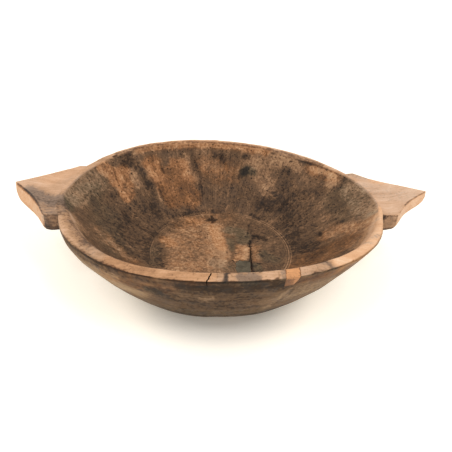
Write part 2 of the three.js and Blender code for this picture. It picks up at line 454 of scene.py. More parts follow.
def applyModifiers(piece):
    bpy.context.view_layer.update()
    graph = bpy.context.evaluated_depsgraph_get()
    ready = piece.evaluated_get(graph)
    mesh = bpy.data.meshes.new_from_object(ready, preserve_all_data_layers=True, depsgraph=graph)
    piece.modifiers.clear()
    old = piece.data
    piece.data = mesh
    bpy.data.meshes.remove(old)
    return piece


def cutWith(piece, cutter, operation):
    step = piece.modifiers.new(cutter.name, "BOOLEAN")
    step.object = cutter
    step.operation = operation
    step.solver = "EXACT"
    step.material_mode = "TRANSFER"


def mendPaint(piece):  # new corners along a cut take the paint of the nearest old corner
    mesh = piece.data
    paints = []
    for name in ("zones", "stainsAndPaintedLight"):
        colours = np.zeros(4 * len(mesh.vertices), np.float32)
        mesh.attributes[name].data.foreach_get("color", colours)
        paints.append(colours.reshape(-1, 4))
    old = (paints[0][:, :3] < 0.99).any(axis=1)  # new corners come out white
    near = kdtree.KDTree(int(old.sum()))
    for index in np.flatnonzero(old):
        near.insert(mesh.vertices[index].co, int(index))
    near.balance()
    for index in np.flatnonzero(~old):
        source = near.find(mesh.vertices[index].co)[1]
        for colours in paints:
            colours[index] = colours[source]
    for name, colours in zip(("zones", "stainsAndPaintedLight"), paints):
        mesh.attributes[name].data.foreach_set("color", colours.ravel())
    print("paint mended on", int((~old).sum()), "corners")


def shadeSmooth(piece, sharpDegrees):
    piece.data.shade_smooth()
    piece.data.set_sharp_from_angle(angle=math.radians(sharpDegrees))


def noiseField(points, size, seed=0.0):
    shift = Vector((seed, seed * 1.7, seed * 0.6))
    return np.array([noise.noise(Vector(p) / size + shift) for p in points])


def cellField(points, seed=0.0):  # squared distance to the nearest cell middle
    shift = Vector((seed, seed * 1.3, seed * 0.7))
    return np.array([noise.voronoi(Vector(p) + shift)[0][0] ** 2 for p in points])


# Basin, by the same values as the carved solid

basin = {
    "rimLength": 0.400,
    "rimWidth": 0.332,
    "rimHeight": 0.101,
    "rimFullness": 2.12,
    "lipAtEnds": 0.0075,
    "lipAtSides": 0.0125,
    "undersideRadius": 0.097,
    "undersideOffset": -0.006,
    "wallPower": 1.9,
    "floorRadius": 0.090,
    "floorForward": 0.006,
    "wallLean": 55,
    "floorThickness": 0.022,
    "floorDish": 0.0035,
    "wallFoot": 0.45,
    "sideLift": 0.0042,
    "twist": 0.0037,
    "endTilt": 0.0024,
    "backTilt": 0.0013,
    "gougeDepth": 0.0007,
    "footGroove": 0.0006,
    "lipTilt": 0.0018,
    "sway": 0.0009,
    "floorBead": 0.0007,
    "lipWearAtHandles": 0.0001,
    "lipParts": (0.3, 0.6),
    "tiltTurns": (-160, -125, -60, -30),
    "turnSteps": 640,
    "rows": {"underside": 2, "outside": 26, "lip": 16, "inside": 56, "floor": 50},
}
# round the lip: angle, added width, wear of its inner edge and of its outer edge in mm,
# then how far up the wall the pale wood starts, and how softly
lipRun = [
    (-180, -4.5, 0.8, 1.2, 0.990, 0.012),
    (-175, 1.0, 2.0, 1.2, 0.980, 0.020),
    (-170, 5.0, 4.5, 1.6, 0.955, 0.035),
    (-165, 9.5, 6.5, 2.2, 0.935, 0.045),
    (-158, 12.0, 7.5, 2.6, 0.925, 0.050),
    (-150, 12.5, 7.5, 2.6, 0.925, 0.050),
    (-142, 11.0, 7.0, 2.4, 0.930, 0.050),
    (-134, 7.5, 5.0, 1.8, 0.950, 0.040),
    (-125, 3.0, 3.0, 1.5, 0.975, 0.020),
    (-115, 0.5, 2.0, 1.2, 0.985, 0.012),
    (-60, 0.0, 1.8, 1.2, 0.985, 0.012),
    (-45, 1.8, 3.0, 2.2, 0.970, 0.024),
    (-30, 5.0, 6.5, 2.8, 0.930, 0.055),
    (-15, 4.5, 7.0, 3.0, 0.910, 0.075),
    (-8, 0.8, 4.0, 2.4, 0.930, 0.065),
    (-3, -2.5, 1.4, 1.2, 0.985, 0.012),
    (2, -5.2, 0.8, 1.2, 0.992, 0.006),
    (6, -6.1, 0.7, 1.2, 0.992, 0.006),
    (13, -6.3, 0.7, 1.2, 0.992, 0.006),
    (21, -6.3, 0.7, 1.2, 0.992, 0.006),
    (31, -6.0, 0.7, 1.2, 0.992, 0.006),
    (40, -3.0, 0.9, 1.3, 0.990, 0.008),
    (52, 0.0, 1.6, 1.5, 0.985, 0.010),
    (60, 0.0, 2.4, 1.5, 0.985, 0.024),
    (130, 0.0, 2.4, 1.5, 0.985, 0.024),
    (150, 0.0, 1.0, 1.3, 0.990, 0.008),
    (162, -1.4, 0.8, 1.2, 0.992, 0.006),
    (169, -2.0, 0.8, 1.2, 0.992, 0.006),
    (176, -4.0, 0.8, 1.2, 0.992, 0.006),
    (180, -4.5, 0.8, 1.2, 0.990, 0.012),
]
# round the outside: angle, rim drawn in and wall swollen below it, in mm
rimRun = [
    (-180, 0.0, 0.0),
    (-172, 1.0, 1.0),
    (-165, 3.6, 2.0),
    (-158, 3.0, 3.2),
    (-148, 2.4, 4.2),
    (-135, 3.2, 4.6),
    (-122, 1.3, 2.4),
    (-108, 0.2, 0.2),
    (-40, 0.0, 0.0),
    (-28, 0.8, 1.0),
    (-20, 2.4, 1.5),
    (-9, 2.4, 0.5),
    (0, 0.0, 0.0),
    (180, 0.0, 0.0),
]


def smoothRun(table):  # the table spread over the full turn and rounded off at its steps
    turns = np.linspace(-180, 180, 721)
    columns = np.array(table).T
    run = []
    for column in columns[1:]:
        values = np.interp(turns, columns[0], column)[:-1]
        for reach in (5, 3):
            shifted = [np.roll(values, k) for k in range(-reach, reach + 1)]
            values = np.mean(shifted, axis=0)
        run.append(np.append(values, values[0]))
    return turns, np.array(run)


lipTurns, lipColumns = smoothRun(lipRun)
rimTurns, rimColumns = smoothRun(rimRun)


def warpAt(angle):
    across = -basin["sideLift"] * np.cos(2 * angle) - basin["twist"] * np.sin(2 * angle)
    return across - basin["endTilt"] * np.cos(angle) + basin["backTilt"] * np.sin(angle)


def ovalPoint(angle, rx, ry, z, lift, shift):
    power = mix(2.0, basin["rimFullness"], lift)
    across = np.abs(np.cos(angle)) ** power + np.abs(np.sin(angle)) ** power
    reach = across ** (-1.0 / power)
    x = rx * reach * np.cos(angle) + shift
    y = ry * reach * np.sin(angle)
    return np.stack(np.broadcast_arrays(x, y, z + lift * warpAt(angle)), axis=-1)


def turnOf(angle):
    return (np.degrees(angle) + 180) % 360 - 180


# degrees round the rim: middle of each handle, how far it fills the lip, and where it has ended
handleTurns = [(175.0, 19.0, 24.0), (12.5, 18.5, 23.5)]


def handleZone(angle):  # 1 where a handle runs on from the lip
    zone = 0.0
    for middle, full, end in handleTurns:
        away = np.abs(turnOf(angle - math.radians(middle)))
        zone = zone + 1 - smoothStep(full, end, away)
    return zone


def outerWear(angle):
    return mix(lipRunAt(angle, 2) * mm, basin["lipWearAtHandles"], handleZone(angle))


def lipTilt(angle):  # the lip slopes down to the outside at the front
    return basin["lipTilt"] * np.interp(turnOf(angle), basin["tiltTurns"], (0, 1, 1, 0))


def lipRunAt(angle, column):
    return np.interp(turnOf(angle), lipTurns, lipColumns[column])


def rimRunAt(angle, column):
    return np.interp(turnOf(angle), rimTurns, rimColumns[column]) * mm


def lipWidth(angle):  # along x and along y
    added = lipRunAt(angle, 0) * mm
    return basin["lipAtEnds"] + added, basin["lipAtSides"] + added


def innerWear(angle):  # across the lip, and down to where the wall starts
    across = lipRunAt(angle, 1) * mm
    return across, across * math.tan(math.radians(basin["wallLean"] / 2))


def undersidePoint(angle, share):
    radius = basin["undersideRadius"] * share
    return ovalPoint(angle, radius, radius, 0.0 * angle, 0.0, basin["undersideOffset"])


def outsidePoint(angle, share):
    climb = share ** basin["wallPower"]
    swell = rimRunAt(angle, 1) * np.sin(math.pi * share ** 6) - rimRunAt(angle, 0) * share ** 4
    rx = mix(basin["undersideRadius"], basin["rimLength"] / 2, share) + swell
    ry = mix(basin["undersideRadius"], basin["rimWidth"] / 2, share) + swell
    top = basin["rimHeight"] - outerWear(angle) - lipTilt(angle)
    return ovalPoint(angle, rx, ry, top * climb, climb, basin["undersideOffset"] * (1 - share))


def lipPoint(angle, share):
    outer = outerWear(angle)
    inner, innerDrop = innerWear(angle)
    widthX, widthY = lipWidth(angle)
    drawn = rimRunAt(angle, 0)
    outerEnd, innerStart = basin["lipParts"]
    lean = math.radians(basin["wallLean"])
    outwards = np.clip(share / outerEnd, 0, 1) * math.pi / 2
    across = np.clip((share - outerEnd) / (innerStart - outerEnd), 0, 1)
    inwards = np.clip((share - innerStart) / (1 - innerStart), 0, 1) * lean
    slope = innerDrop * (1 - np.cos(inwards)) / (1 - math.cos(lean))
    drop = lipTilt(angle) * (1 - across) + outer * (1 - np.sin(outwards)) + slope
    rounded = drawn + outer * (1 - np.cos(outwards)) + inner * np.sin(inwards) / math.sin(lean)
    rx = basin["rimLength"] / 2 - rounded - across * (widthX - drawn - outer - inner)
    ry = basin["rimWidth"] / 2 - rounded - across * (widthY - drawn - outer - inner)
    return ovalPoint(angle, rx, ry, basin["rimHeight"] - drop, 1.0, 0.0)


def floorShift(share):  # the floor lies a little to the front
    return np.multiply.outer(1.0 - np.asarray(share), np.array([0.0, -basin["floorForward"], 0.0]))


def insidePoint(angle, share):
    climb = basin["wallFoot"] * share + (1 - basin["wallFoot"]) * share * share
    widthX, widthY = lipWidth(angle)
    late = share ** 3  # the wall takes up the lip's width near its top only
    plainX, plainY = basin["lipAtEnds"], basin["lipAtSides"]
    rx = mix(basin["floorRadius"], basin["rimLength"] / 2 - plainX, share) - (widthX - plainX) * late
    ry = mix(basin["floorRadius"], basin["rimWidth"] / 2 - plainY, share) - (widthY - plainY) * late
    foot = basin["floorThickness"] + basin["floorDish"]
    top = basin["rimHeight"] - innerWear(angle)[1]
    spot = ovalPoint(angle, rx, ry, mix(foot, top, climb), share, 0.0)
    return spot + floorShift(share)


def floorPoint(angle, share):
    radius = basin["floorRadius"] * share
    z = basin["floorThickness"] + basin["floorDish"] * share * share + 0.0 * angle
    return ovalPoint(angle, radius, radius, z, 0.0, 0.0) + floorShift(0.0)


# Stains on the basin, with painted shade and light among them: edgeShade, shadeLeft and shadeRight, the
# crest highlights on the back lip, and the pale tanEndRight and paleFarRight. Each has its tone, amount,
# half width and soft edge in millimetres, and a path.
# A path on a wall is (angle in degrees, share of the way up), on the lip (angle, share of the way in),
# on the floor (x, y) in millimetres.
tones = {"dark": 0, "warm": 1, "pale": 2, "grey": 3}

insideMarks = {
    "wornBandBack": (
        "pale", 0.8, 3.5, 3,
        [(130, 0.985), (111, 0.985), (98, 0.985), (84, 0.985), (60, 0.985)],
    ),
    "redBandBack": ("warm", 0.6, 5, 4, [(120, 0.98), (98, 0.98), (84, 0.98), (70, 0.98)]),
    "darkBandBack": ("dark", 0.1, 6, 7, [(105, 0.9), (98, 0.87), (90, 0.86), (83, 0.89), (76, 0.9)]),
    "darkSpotBackLeft": ("dark", 0.1, 3, 4, [(107, 0.93), (104, 0.92)]),
    "palerBandBack": ("pale", 0.18, 5, 6, [(112, 0.93), (100, 0.92)]),
    "darkSpotBack": ("dark", 0.5, 3.5, 4, [(93, 0.87), (89, 0.855)]),
    "darkSpotBackRight": ("dark", 0.6, 3, 3, [(80, 0.89), (78, 0.9)]),
    "darkDripBack": ("dark", 0.5, 2.5, 3, [(90, 0.87), (88, 0.79)]),
    "redMarkBack": ("warm", 0.9, 1.2, 1.5, [(88, 0.78), (87.3, 0.68)]),
    "redZoneBack": ("warm", 0.45, 16, 12, [(98, 0.72), (86, 0.68)]),
    "tanPatchBack": ("pale", 0.35, 9, 8, [(98, 0.74), (90, 0.67)]),
    "blackBlobBack": ("dark", 0.85, 6, 5, [(77.5, 0.715), (76.2, 0.735), (74, 0.73)]),
    "blackBlobFilm": ("grey", 0.8, 6, 5, [(77.5, 0.715), (76.2, 0.735), (74, 0.73)]),
    "blackBlobDrip": ("dark", 0.6, 2, 3, [(78.5, 0.69), (80, 0.63)]),
    "paleBackRight": ("pale", 0.5, 8, 8, [(75, 0.86), (68, 0.89), (62, 0.92)]),
    "paleRightTop": ("pale", 0.7, 6, 5, [(60, 0.965), (56, 0.92), (53, 0.9)]),
    "pittedRight": ("dark", 0.2, 11, 9, [(60, 0.85), (53, 0.78), (50, 0.68)]),
    "paleBackRightLow": ("pale", 0.5, 10, 9, [(72, 0.76), (64, 0.62), (60, 0.5)]),
    "orangeBackLeft": ("warm", 0.95, 12, 7, [(125, 0.83), (124, 0.61), (124, 0.34)]),
    "orangeBackLeftPale": ("pale", 0.3, 12, 8, [(125, 0.83), (124, 0.61), (123, 0.5)]),
    "orangeBackLeftDark": ("dark", 0.35, 6, 7, [(127.5, 0.53), (127.5, 0.4), (125.5, 0.26)]),
    "orangeBackMiddle": ("warm", 0.85, 14, 8, [(113, 0.73), (112, 0.5), (112, 0.3)]),
    "orangeBackMiddlePale": ("pale", 0.2, 14, 9, [(113, 0.78), (112, 0.5), (112, 0.3)]),
    "orangeBright": ("pale", 0.6, 4.5, 4, [(128, 0.77), (126.5, 0.66)]),
    "orangeBrightRight": ("pale", 0.45, 6, 6, [(109, 0.8), (109, 0.64), (106, 0.62)]),
    "edgeLineBack": ("dark", 0.45, 1.5, 2, [(104, 0.87), (102.5, 0.66), (102.8, 0.34)]),
    "darkNick": ("dark", 0.7, 1.5, 2, [(121, 0.79), (121, 0.7)]),
    "darkStreakLeft": ("dark", 0.6, 4.5, 4.5, [(133.5, 0.96), (132.8, 0.88), (133, 0.76), (132.5, 0.62)]),
    "darkStreakLeftLow": ("dark", 0.45, 6, 6, [(132.5, 0.6), (136, 0.42), (140, 0.3)]),
    "paleLinesLeft": ("pale", 0.6, 1.5, 1.5, [(129, 0.55), (132, 0.38)]),
    "speckledFoot": ("dark", 0.25, 16, 12, [(103, 0.4), (84, 0.36), (66, 0.33)]),
    "darkFootLeft": ("dark", 0.4, 6, 6, [(140, 0.2), (125, 0.12), (112, 0.1)]),
    "darkFootBack": ("dark", 0.5, 2.5, 4, [(120, 0.07), (108, 0.06), (92, 0.05)]),
    "darkFootBackRight": ("dark", 0.6, 2, 3, [(64, 0.06), (55, 0.05)]),
    "darkFootFrontLeft": ("dark", 0.3, 3, 5, [(140, 0.04), (165, 0.04), (185, 0.04), (205, 0.04)]),
    "darkBrownRight": ("dark", 0.42, 9, 8, [(60, 0.3), (50, 0.36), (44, 0.4)]),
    "wedgeTop": ("warm", 0.75, 10, 3, [(149, 0.95), (147, 0.87), (148, 0.78)]),
    "wedgePale": ("pale", 0.5, 10, 4, [(149, 0.95), (147, 0.87), (148, 0.78)]),
    "wedgeTip": ("warm", 0.6, 4, 3, [(148.5, 0.76), (150, 0.66), (151, 0.56)]),
    "wedgeTipPale": ("pale", 0.45, 4, 3, [(148.5, 0.76), (150, 0.66), (151, 0.56)]),
    "wedgeEdge": ("dark", 0.65, 1.2, 1.3, [(144, 0.93), (146.2, 0.83), (148.5, 0.725)]),
    "darkPatchLeft": ("dark", 0.6, 5, 5, [(138, 0.915), (135, 0.9)]),
    "palePatchLeft": ("pale", 0.55, 6, 5, [(138.2, 0.8), (138.2, 0.66)]),
    "warmPatchLeft": ("warm", 0.75, 9, 6, [(141, 0.85), (143, 0.76), (145, 0.68), (148, 0.6)]),
    "warmPatchLeftPale": ("pale", 0.4, 8, 6, [(143, 0.86), (143.5, 0.76), (145, 0.66), (148, 0.6)]),
    "darkSpotEndLeft": ("dark", 0.5, 3.5, 4, [(156, 0.68), (153, 0.67)]),
    "greyEndLeft": ("grey", 0.4, 16, 10, [(164, 0.96), (158, 0.88)]),
    "greyEndLeftLow": ("grey", 0.4, 14, 10, [(174, 0.9), (165, 0.82)]),
    "paleEndLeft": ("pale", 0.5, 16, 10, [(176, 0.92), (166, 0.93), (158, 0.9)]),
    "lineEndLeft": ("dark", 0.55, 1.6, 2, [(177, 0.85), (168, 0.84), (157.2, 0.82)]),
    "filmLeftLow": ("grey", 0.35, 18, 14, [(172, 0.6), (186, 0.5), (196, 0.45)]),
    "darkEndLeft": ("dark", 0.22, 26, 18, [(168, 0.6), (180, 0.55), (188, 0.5)]),
    "darkEndLeftLow": ("dark", 0.4, 24, 14, [(152, 0.3), (168, 0.25), (185, 0.2)]),
    "streakFrontLeft": ("pale", 0.4, 3, 4, [(189, 0.66), (193, 0.44), (204, 0.22)]),
    "streakFrontLeftWarm": ("warm", 0.45, 10, 9, [(189, 0.6), (196, 0.4), (208, 0.25)]),
    "streakFrontLeftLow": ("pale", 0.45, 3, 4, [(188, 0.5), (203, 0.31)]),
    "streakFrontLeftFar": ("pale", 0.4, 2, 3, [(181, 0.4), (190, 0.22)]),
    "darkFrontLeft": ("dark", 0.2, 7, 7, [(206, 0.9), (209, 0.62), (208, 0.4)]),
    "paleFrontLeftMiddle": ("pale", 0.35, 7, 8, [(-164, 0.54), (-159, 0.3)]),
    "paleFrontLeft": ("pale", 0.8, 5, 7, [(194, 0.96), (206, 0.97), (218, 0.98)]),
    "scoopLeft": ("pale", 0.5, 7, 8, [(-169, 0.95), (-164.5, 0.92), (-160, 0.86)]),
    "tanRight": ("pale", 0.75, 6, 4, [(46, 0.94), (42, 0.965), (36, 0.965)]),
    "tanRightWarm": ("warm", 0.5, 9, 5, [(47, 0.93), (40, 0.93), (35, 0.95)]),
    "tanRightLow": ("pale", 0.75, 6, 3, [(36, 0.94), (34.4, 0.88)]),
    "darkEdgeRight": ("dark", 0.28, 3.5, 3, [(30.2, 0.975), (29, 0.92), (28.6, 0.86)]),
    "paleEndRightTop": ("pale", 0.35, 7, 6, [(35, 0.86), (28, 0.91), (25, 0.86)]),
    "darkSpotRightTop": ("dark", 0.5, 3, 3, [(58.5, 0.825), (57, 0.83)]),
    "darkSpotsRight": ("dark", 0.4, 5, 6, [(43, 0.66), (35.5, 0.73)]),
    "darkEndRight": ("dark", 0.2, 8, 7, [(20, 0.8), (12, 0.66)]),
    "greyEndRight": ("grey", 0.35, 20, 6, [(22, 0.95), (11, 0.93), (3, 0.94)]),
    "greyEndRightLow": ("grey", 0.3, 18, 10, [(24, 0.77), (12, 0.77)]),
    "paleEndRight": ("pale", 0.5, 18, 8, [(20, 0.93), (11, 0.92), (3, 0.93)]),
    "crackLineRight": ("dark", 0.95, 1.2, 1.5, [(52, 0.985), (45, 0.985), (35, 0.985)]),
    "darkRight": ("dark", 0.35, 20, 14, [(50, 0.5), (38, 0.4), (23, 0.29), (5, 0.2), (-8, 0.22)]),
    "darkRightLow": ("dark", 0.25, 14, 12, [(54, 0.4), (31, 0.15), (10, 0.1)]),
    "paleRight": ("pale", 0.35, 5, 6, [(32, 0.7), (17, 0.52)]),
    "orangeFrontRight": ("warm", 0.4, 9, 7, [(2, 0.43), (4, 0.59), (-4, 0.73), (-9, 0.87)]),
    "paleFrontRight": ("pale", 0.5, 9, 8, [(3, 0.5), (2, 0.62), (-4, 0.76), (-12, 0.88)]),
    "spotRight": ("dark", 0.8, 3, 3, [(6.5, 0.42), (5.5, 0.42)]),
    "blackRight": ("dark", 0.55, 7, 6, [(-1, 0.17), (-1, 0.3)]),
    "boundaryRight": ("dark", 0.6, 1.3, 2.5, [(7.5, 0.6), (6.5, 0.68), (6, 0.74)]),
    "boundaryRightTop": ("dark", 0.55, 1.2, 2, [(4.5, 0.8), (2.5, 0.84), (0, 0.88)]),
    "boundaryRightFilm": ("grey", 0.6, 2.5, 3, [(-1, 0.91), (-4, 0.985)]),
    "boundaryRightEnd": ("dark", 0.3, 2, 3, [(-1, 0.91), (-4, 0.985)]),
    # tanEndRight and tanEndRightWarm: pale wood with painted light on the upper inner slope at the front
    # right, which faces away from the lamps
    "tanEndRight": ("pale", 0.8, 7, 7, [(-1, 0.95), (-10, 0.93), (-21, 0.93), (-34, 0.94)]),
    "tanEndRightWarm": ("warm", 0.4, 7, 7, [(-6, 0.94), (-21, 0.93), (-33, 0.955)]),
    "tanEndRightLow": ("pale", 0.4, 8, 8, [(-20, 0.75), (-28, 0.84)]),
    "brownFrontRight": ("warm", 0.6, 20, 12, [(-18, 0.22), (-17, 0.45), (-17, 0.66)]),
    "darkFrontRight": ("dark", 0.15, 14, 10, [(-24, 0.3), (-24, 0.6)]),
    "frontWallTan": ("warm", 0.6, 22, 14, [(-50, 0.6), (-90, 0.5), (-130, 0.6)]),
    "frontWallPale": ("pale", 0.35, 16, 14, [(-55, 0.75), (-80, 0.55), (-118, 0.7)]),
    "frontWallDark": ("dark", 0.35, 12, 12, [(-50, 0.25), (-80, 0.3), (-100, 0.75), (-130, 0.3)]),
}

floorMarks = {
    "dullMiddle": ("dark", 0.22, 7, 6, [(-10, 38), (-6, 30)]),
    "starSpot": ("dark", 0.85, 3.4, 3, [(-14, 70), (-11, 67)]),
    "starArm": ("dark", 0.8, 1.6, 1.6, [(-20, 67), (-5, 70)]),
    "starArmUp": ("dark", 0.8, 1.6, 1.6, [(-13, 77), (-11.5, 61)]),
    "tanLeft": ("pale", 0.5, 26, 14, [(-50, 16), (-28, 34), (-20, -20), (-46, -30)]),
    "tanMiddle": ("pale", 0.42, 10, 9, [(-8, 50), (-4, 20), (0, -18), (-4, -60)]),
    "orangeLeft": ("warm", 0.35, 24, 16, [(-50, 14), (-28, 45), (-4, 30), (-8, -20), (-46, -30)]),
    "orangeSpotLeft": ("warm", 0.7, 6, 6, [(-74, 16), (-64, 8)]),
    "orangeSpotLeftPale": ("pale", 0.3, 5, 5, [(-74, 16), (-64, 8)]),
    "orangeSpotBack": ("warm", 0.7, 5, 6, [(-44, 66), (-34, 62)]),
    "orangeSpotBackPale": ("pale", 0.3, 5, 5, [(-44, 66), (-34, 62)]),
    "orangeEdge": ("warm", 0.9, 6, 5, [(-10, 48), (-2, 24), (2, 4)]),
    "paleEdge": ("pale", 0.5, 5, 4, [(-10, 48), (-2, 24), (2, 4), (7, -14)]),
    "greyBack": ("grey", 0.7, 9, 5, [(14, 46), (26, 40), (34, 28), (30, 22)]),
    "greyBackLow": ("grey", 0.65, 5, 4, [(13, 22), (14, 10), (15, 2)]),
    "greyBackDark": ("dark", 0.04, 9, 6, [(14, 44), (28, 36), (32, 24), (16, 14)]),
    "pinkFlaw": ("pale", 0.65, 4, 6, [(29, 7), (36, 3)]),
    "pinkFlawRight": ("pale", 0.4, 4, 6, [(46, 6), (47, -20)]),
    "pinkFlawRightWarm": ("warm", 0.5, 5, 6, [(46, 6), (47, -20)]),
    "pinkFlawMiddle": ("pale", 0.9, 4, 5, [(34, 0), (33, -18)]),
    "pinkFlawLeft": ("pale", 0.55, 3.5, 4, [(25, -2), (21, -22)]),
    "pinkFlawWarm": ("warm", 0.5, 8, 5, [(27, 3), (32, -6), (26, -18)]),
    "smear": ("dark", 0.8, 3, 4, [(49, 31), (54, 28), (61, 23)]),
    "shadeRight": ("dark", 0.15, 22, 12, [(58, 44), (72, 0), (66, -42)]),
    "shadeLeft": ("dark", 0.3, 7, 8, [(-83, 22), (-84, -6), (-78, -40)]),
    "brownBack": ("warm", 0.3, 10, 10, [(-60, 55), (-20, 75), (10, 76)]),
    "brownBackPale": ("pale", 0.25, 8, 8, [(-45, 66), (-20, 76), (8, 72)]),
    "spotBandRight": ("dark", 0.4, 4, 5, [(56, -12), (70, -22)]),
    "spotBandFilm": ("grey", 0.6, 7, 6, [(56, -12), (70, -22)]),
    "filmRight": ("grey", 0.75, 5, 3, [(46, -36), (51, -48)]),
    "filmRightDark": ("dark", 0.35, 5, 3, [(46, -36), (51, -48)]),
    "filmFront": ("grey", 0.4, 8, 7, [(-6, -30), (10, -38)]),
    "darkFrontLeft": ("dark", 0.4, 5, 6, [(-76, -10), (-70, -44)]),
    "greyFrontLeft": ("grey", 0.25, 6, 5, [(-84, -6), (-80, -38)]),
    "crackDots": ("dark", 0.7, 0.8, 1.0, [(39.2, 58), (38.4, 44), (38.9, 30)]),
    "crackDotLeft": ("dark", 1.0, 1.0, 0.9, [(35, 31), (36, 30)]),
    "crackDotRight": ("dark", 1.0, 1.0, 0.9, [(44, 26), (44.5, 25)]),
    "pitMiddle": ("dark", 1.0, 1.0, 0.9, [(8, -6), (9, -6.4)]),
    "pitFill": ("dark", 1.0, 1.0, 0.9, [(20.5, -9), (21.4, -9)]),
    "pitFillLow": ("dark", 1.0, 1.0, 0.9, [(16, -24), (17.4, -25)]),
    "pitRight": ("dark", 1.0, 1.0, 0.9, [(50.5, -4), (53, -4)]),
    "pitRightLow": ("dark", 1.0, 1.0, 0.9, [(48, -31), (53, -30.6)]),
    "crackSoot": ("dark", 0.75, 1.8, 2.2, [(41, 20), (40.3, 4), (40.5, -20), (41, -50)]),
    "redLine": ("warm", 0.9, 1.5, 2, [(-12, 54), (-8, 21)]),
}

lipMarks = {
    "edgeLineLeft": ("dark", 0.8, 0.9, 1.0, [(-164, 0), (-150, 0), (-135, 0), (-118, 0)]),
    "edgeLine": ("dark", 0.95, 0.9, 1.0, [(-118, 0), (-105, 0), (-90, 0), (-73, 0)]),
    "edgeLineRight": ("dark", 0.55, 0.8, 1.0, [(-63, 0), (-52, 0), (-40, 0), (-25, 0)]),
    "edgeShade": ("dark", 0.5, 2.2, 2.6, [(-149, 0.05), (-141, 0.06), (-132, 0.06), (-120, 0.04)]),
    "toneFront": ("dark", 0.18, 9, 5, [(-128, 0.5), (-115, 0.5), (-95, 0.5), (-72, 0.5), (-58, 0.5)]),
    "paleLeft": ("pale", 0.5, 3, 4, [(-162, 0.3), (-152, 0.3), (-144, 0.3), (-138, 0.35)]),
    "tanLeft": ("dark", 0.25, 8, 7, [(-171, 0.6), (-164, 0.6), (-156, 0.6), (-146, 0.6), (-136, 0.6)]),
    "slopeLeft": ("dark", 0.25, 6, 6, [(-156, 1.0), (-148, 1.0), (-138, 1.0)]),
    "slopeLeftFilm": ("grey", 0.2, 6, 6, [(-156, 1.0), (-148, 1.0), (-134, 1.0)]),
    "greyLeft": ("grey", 0.35, 6, 4, [(-138, 0.6), (-131, 0.5)]),
    "warmFront": ("warm", 0.45, 9, 5, [(-124, 0.5), (-108, 0.5), (-94, 0.5)]),
    "stripe": ("grey", 1.0, 1.8, 1.2, [(-88.4, 0.0), (-88.2, 0.3), (-87.8, 0.6), (-87.6, 1.0)]),
    "stripeDark": ("dark", 0.8, 1.7, 1.4, [(-88.4, 0.0), (-88.2, 0.3), (-87.8, 0.6), (-87.6, 1.0)]),
    "stripeSide": ("grey", 0.25, 3.0, 2, [(-89.8, 0.3), (-89.4, 0.8)]),
    "greyZoneDark": ("dark", 0.1, 6.5, 3, [(-83, 0.5), (-79.5, 0.5)]),
    "greyZone": ("grey", 0.75, 6.5, 3, [(-83, 0.4), (-80, 0.4)]),
    "paleSpeckled": ("pale", 0.4, 7, 4, [(-76, 0.5), (-72.5, 0.5)]),
    "spotInner": ("dark", 1.0, 0.9, 0.8, [(-77.9, 0.8), (-77.7, 0.9)]),
    "spotInnerSecond": ("dark", 0.9, 0.8, 0.8, [(-75.8, 0.78), (-75.2, 0.85)]),
    "spotOuter": ("dark", 1.0, 1.2, 0.9, [(-73.9, 0.25), (-73.4, 0.32)]),
    "purpleBesidePatch": ("grey", 0.6, 2.3, 2.0, [(-71.8, 0.1), (-71.6, 0.4), (-71.5, 0.9)]),
    "purpleBesideDark": ("dark", 0.12, 2.0, 2.0, [(-71.8, 0.1), (-71.5, 0.9)]),
    "dullRight": ("grey", 0.25, 7, 3, [(-65.5, 0.5), (-59, 0.5)]),
    "dullRightPale": ("pale", 0.3, 7, 3, [(-65.5, 0.5), (-59, 0.5)]),
    "stripeRight": ("grey", 0.75, 2.4, 2.4, [(-57.4, 0.95), (-56.4, 0.5), (-55.4, 0.15)]),
    "stripeRightDark": ("dark", 0.25, 1.8, 2.0, [(-57.0, 0.9), (-55.2, 0.1)]),
    "warmRight": ("warm", 0.75, 9, 5, [(-52, 0.5), (-36, 0.5), (-15, 0.6), (-4, 0.7)]),
    "paleRight": ("pale", 0.7, 9, 5, [(-51, 0.5), (-36, 0.5), (-16, 0.6), (-5, 0.6)]),
    # paleFarRight: pale wood with painted light, reaching down the steep inner slope that the lamps leave
    # dark
    "paleFarRight": ("pale", 0.95, 8, 6, [(-24, 0.5), (-16, 0.6), (-7, 0.6)]),
    "spotRight": ("dark", 0.9, 0.9, 0.8, [(-47.5, 0.12), (-47.2, 0.16)]),
    "mottleRight": ("grey", 0.4, 2.2, 3.0, [(-36, 0.75), (-34, 0.5)]),
    "mottleRightFar": ("grey", 0.5, 2.6, 3.2, [(-30, 0.7), (-27, 0.45)]),
    "mottleRightEnd": ("grey", 0.35, 1.8, 2.4, [(-12.5, 0.9), (-9.5, 0.95)]),
    "brownBack": (
        "dark", 0.5, 5, 2.5,
        [(138, 0.85), (120, 0.75), (100, 0.75), (80, 0.75), (60, 0.8), (45, 0.95)],
    ),
    "redBack": ("warm", 0.6, 6, 3, [(128, 0.8), (110, 0.8), (90, 0.8), (70, 0.8)]),
    # a painted highlight along the crest of the back lip
    "crestHighlightBack": (
        "pale", 1.0, 1.5, 1.5,
        [(140, 0.25), (120, 0.25), (100, 0.25), (80, 0.25), (60, 0.25), (40, 0.25)],
    ),
    "spotBackLeft": ("dark", 0.9, 1.4, 1.2, [(141, 0.75), (139.5, 0.85)]),
    "crestHighlightBackRight": ("pale", 0.6, 3, 2, [(70, 0.25), (50, 0.25), (36, 0.3)]),
}

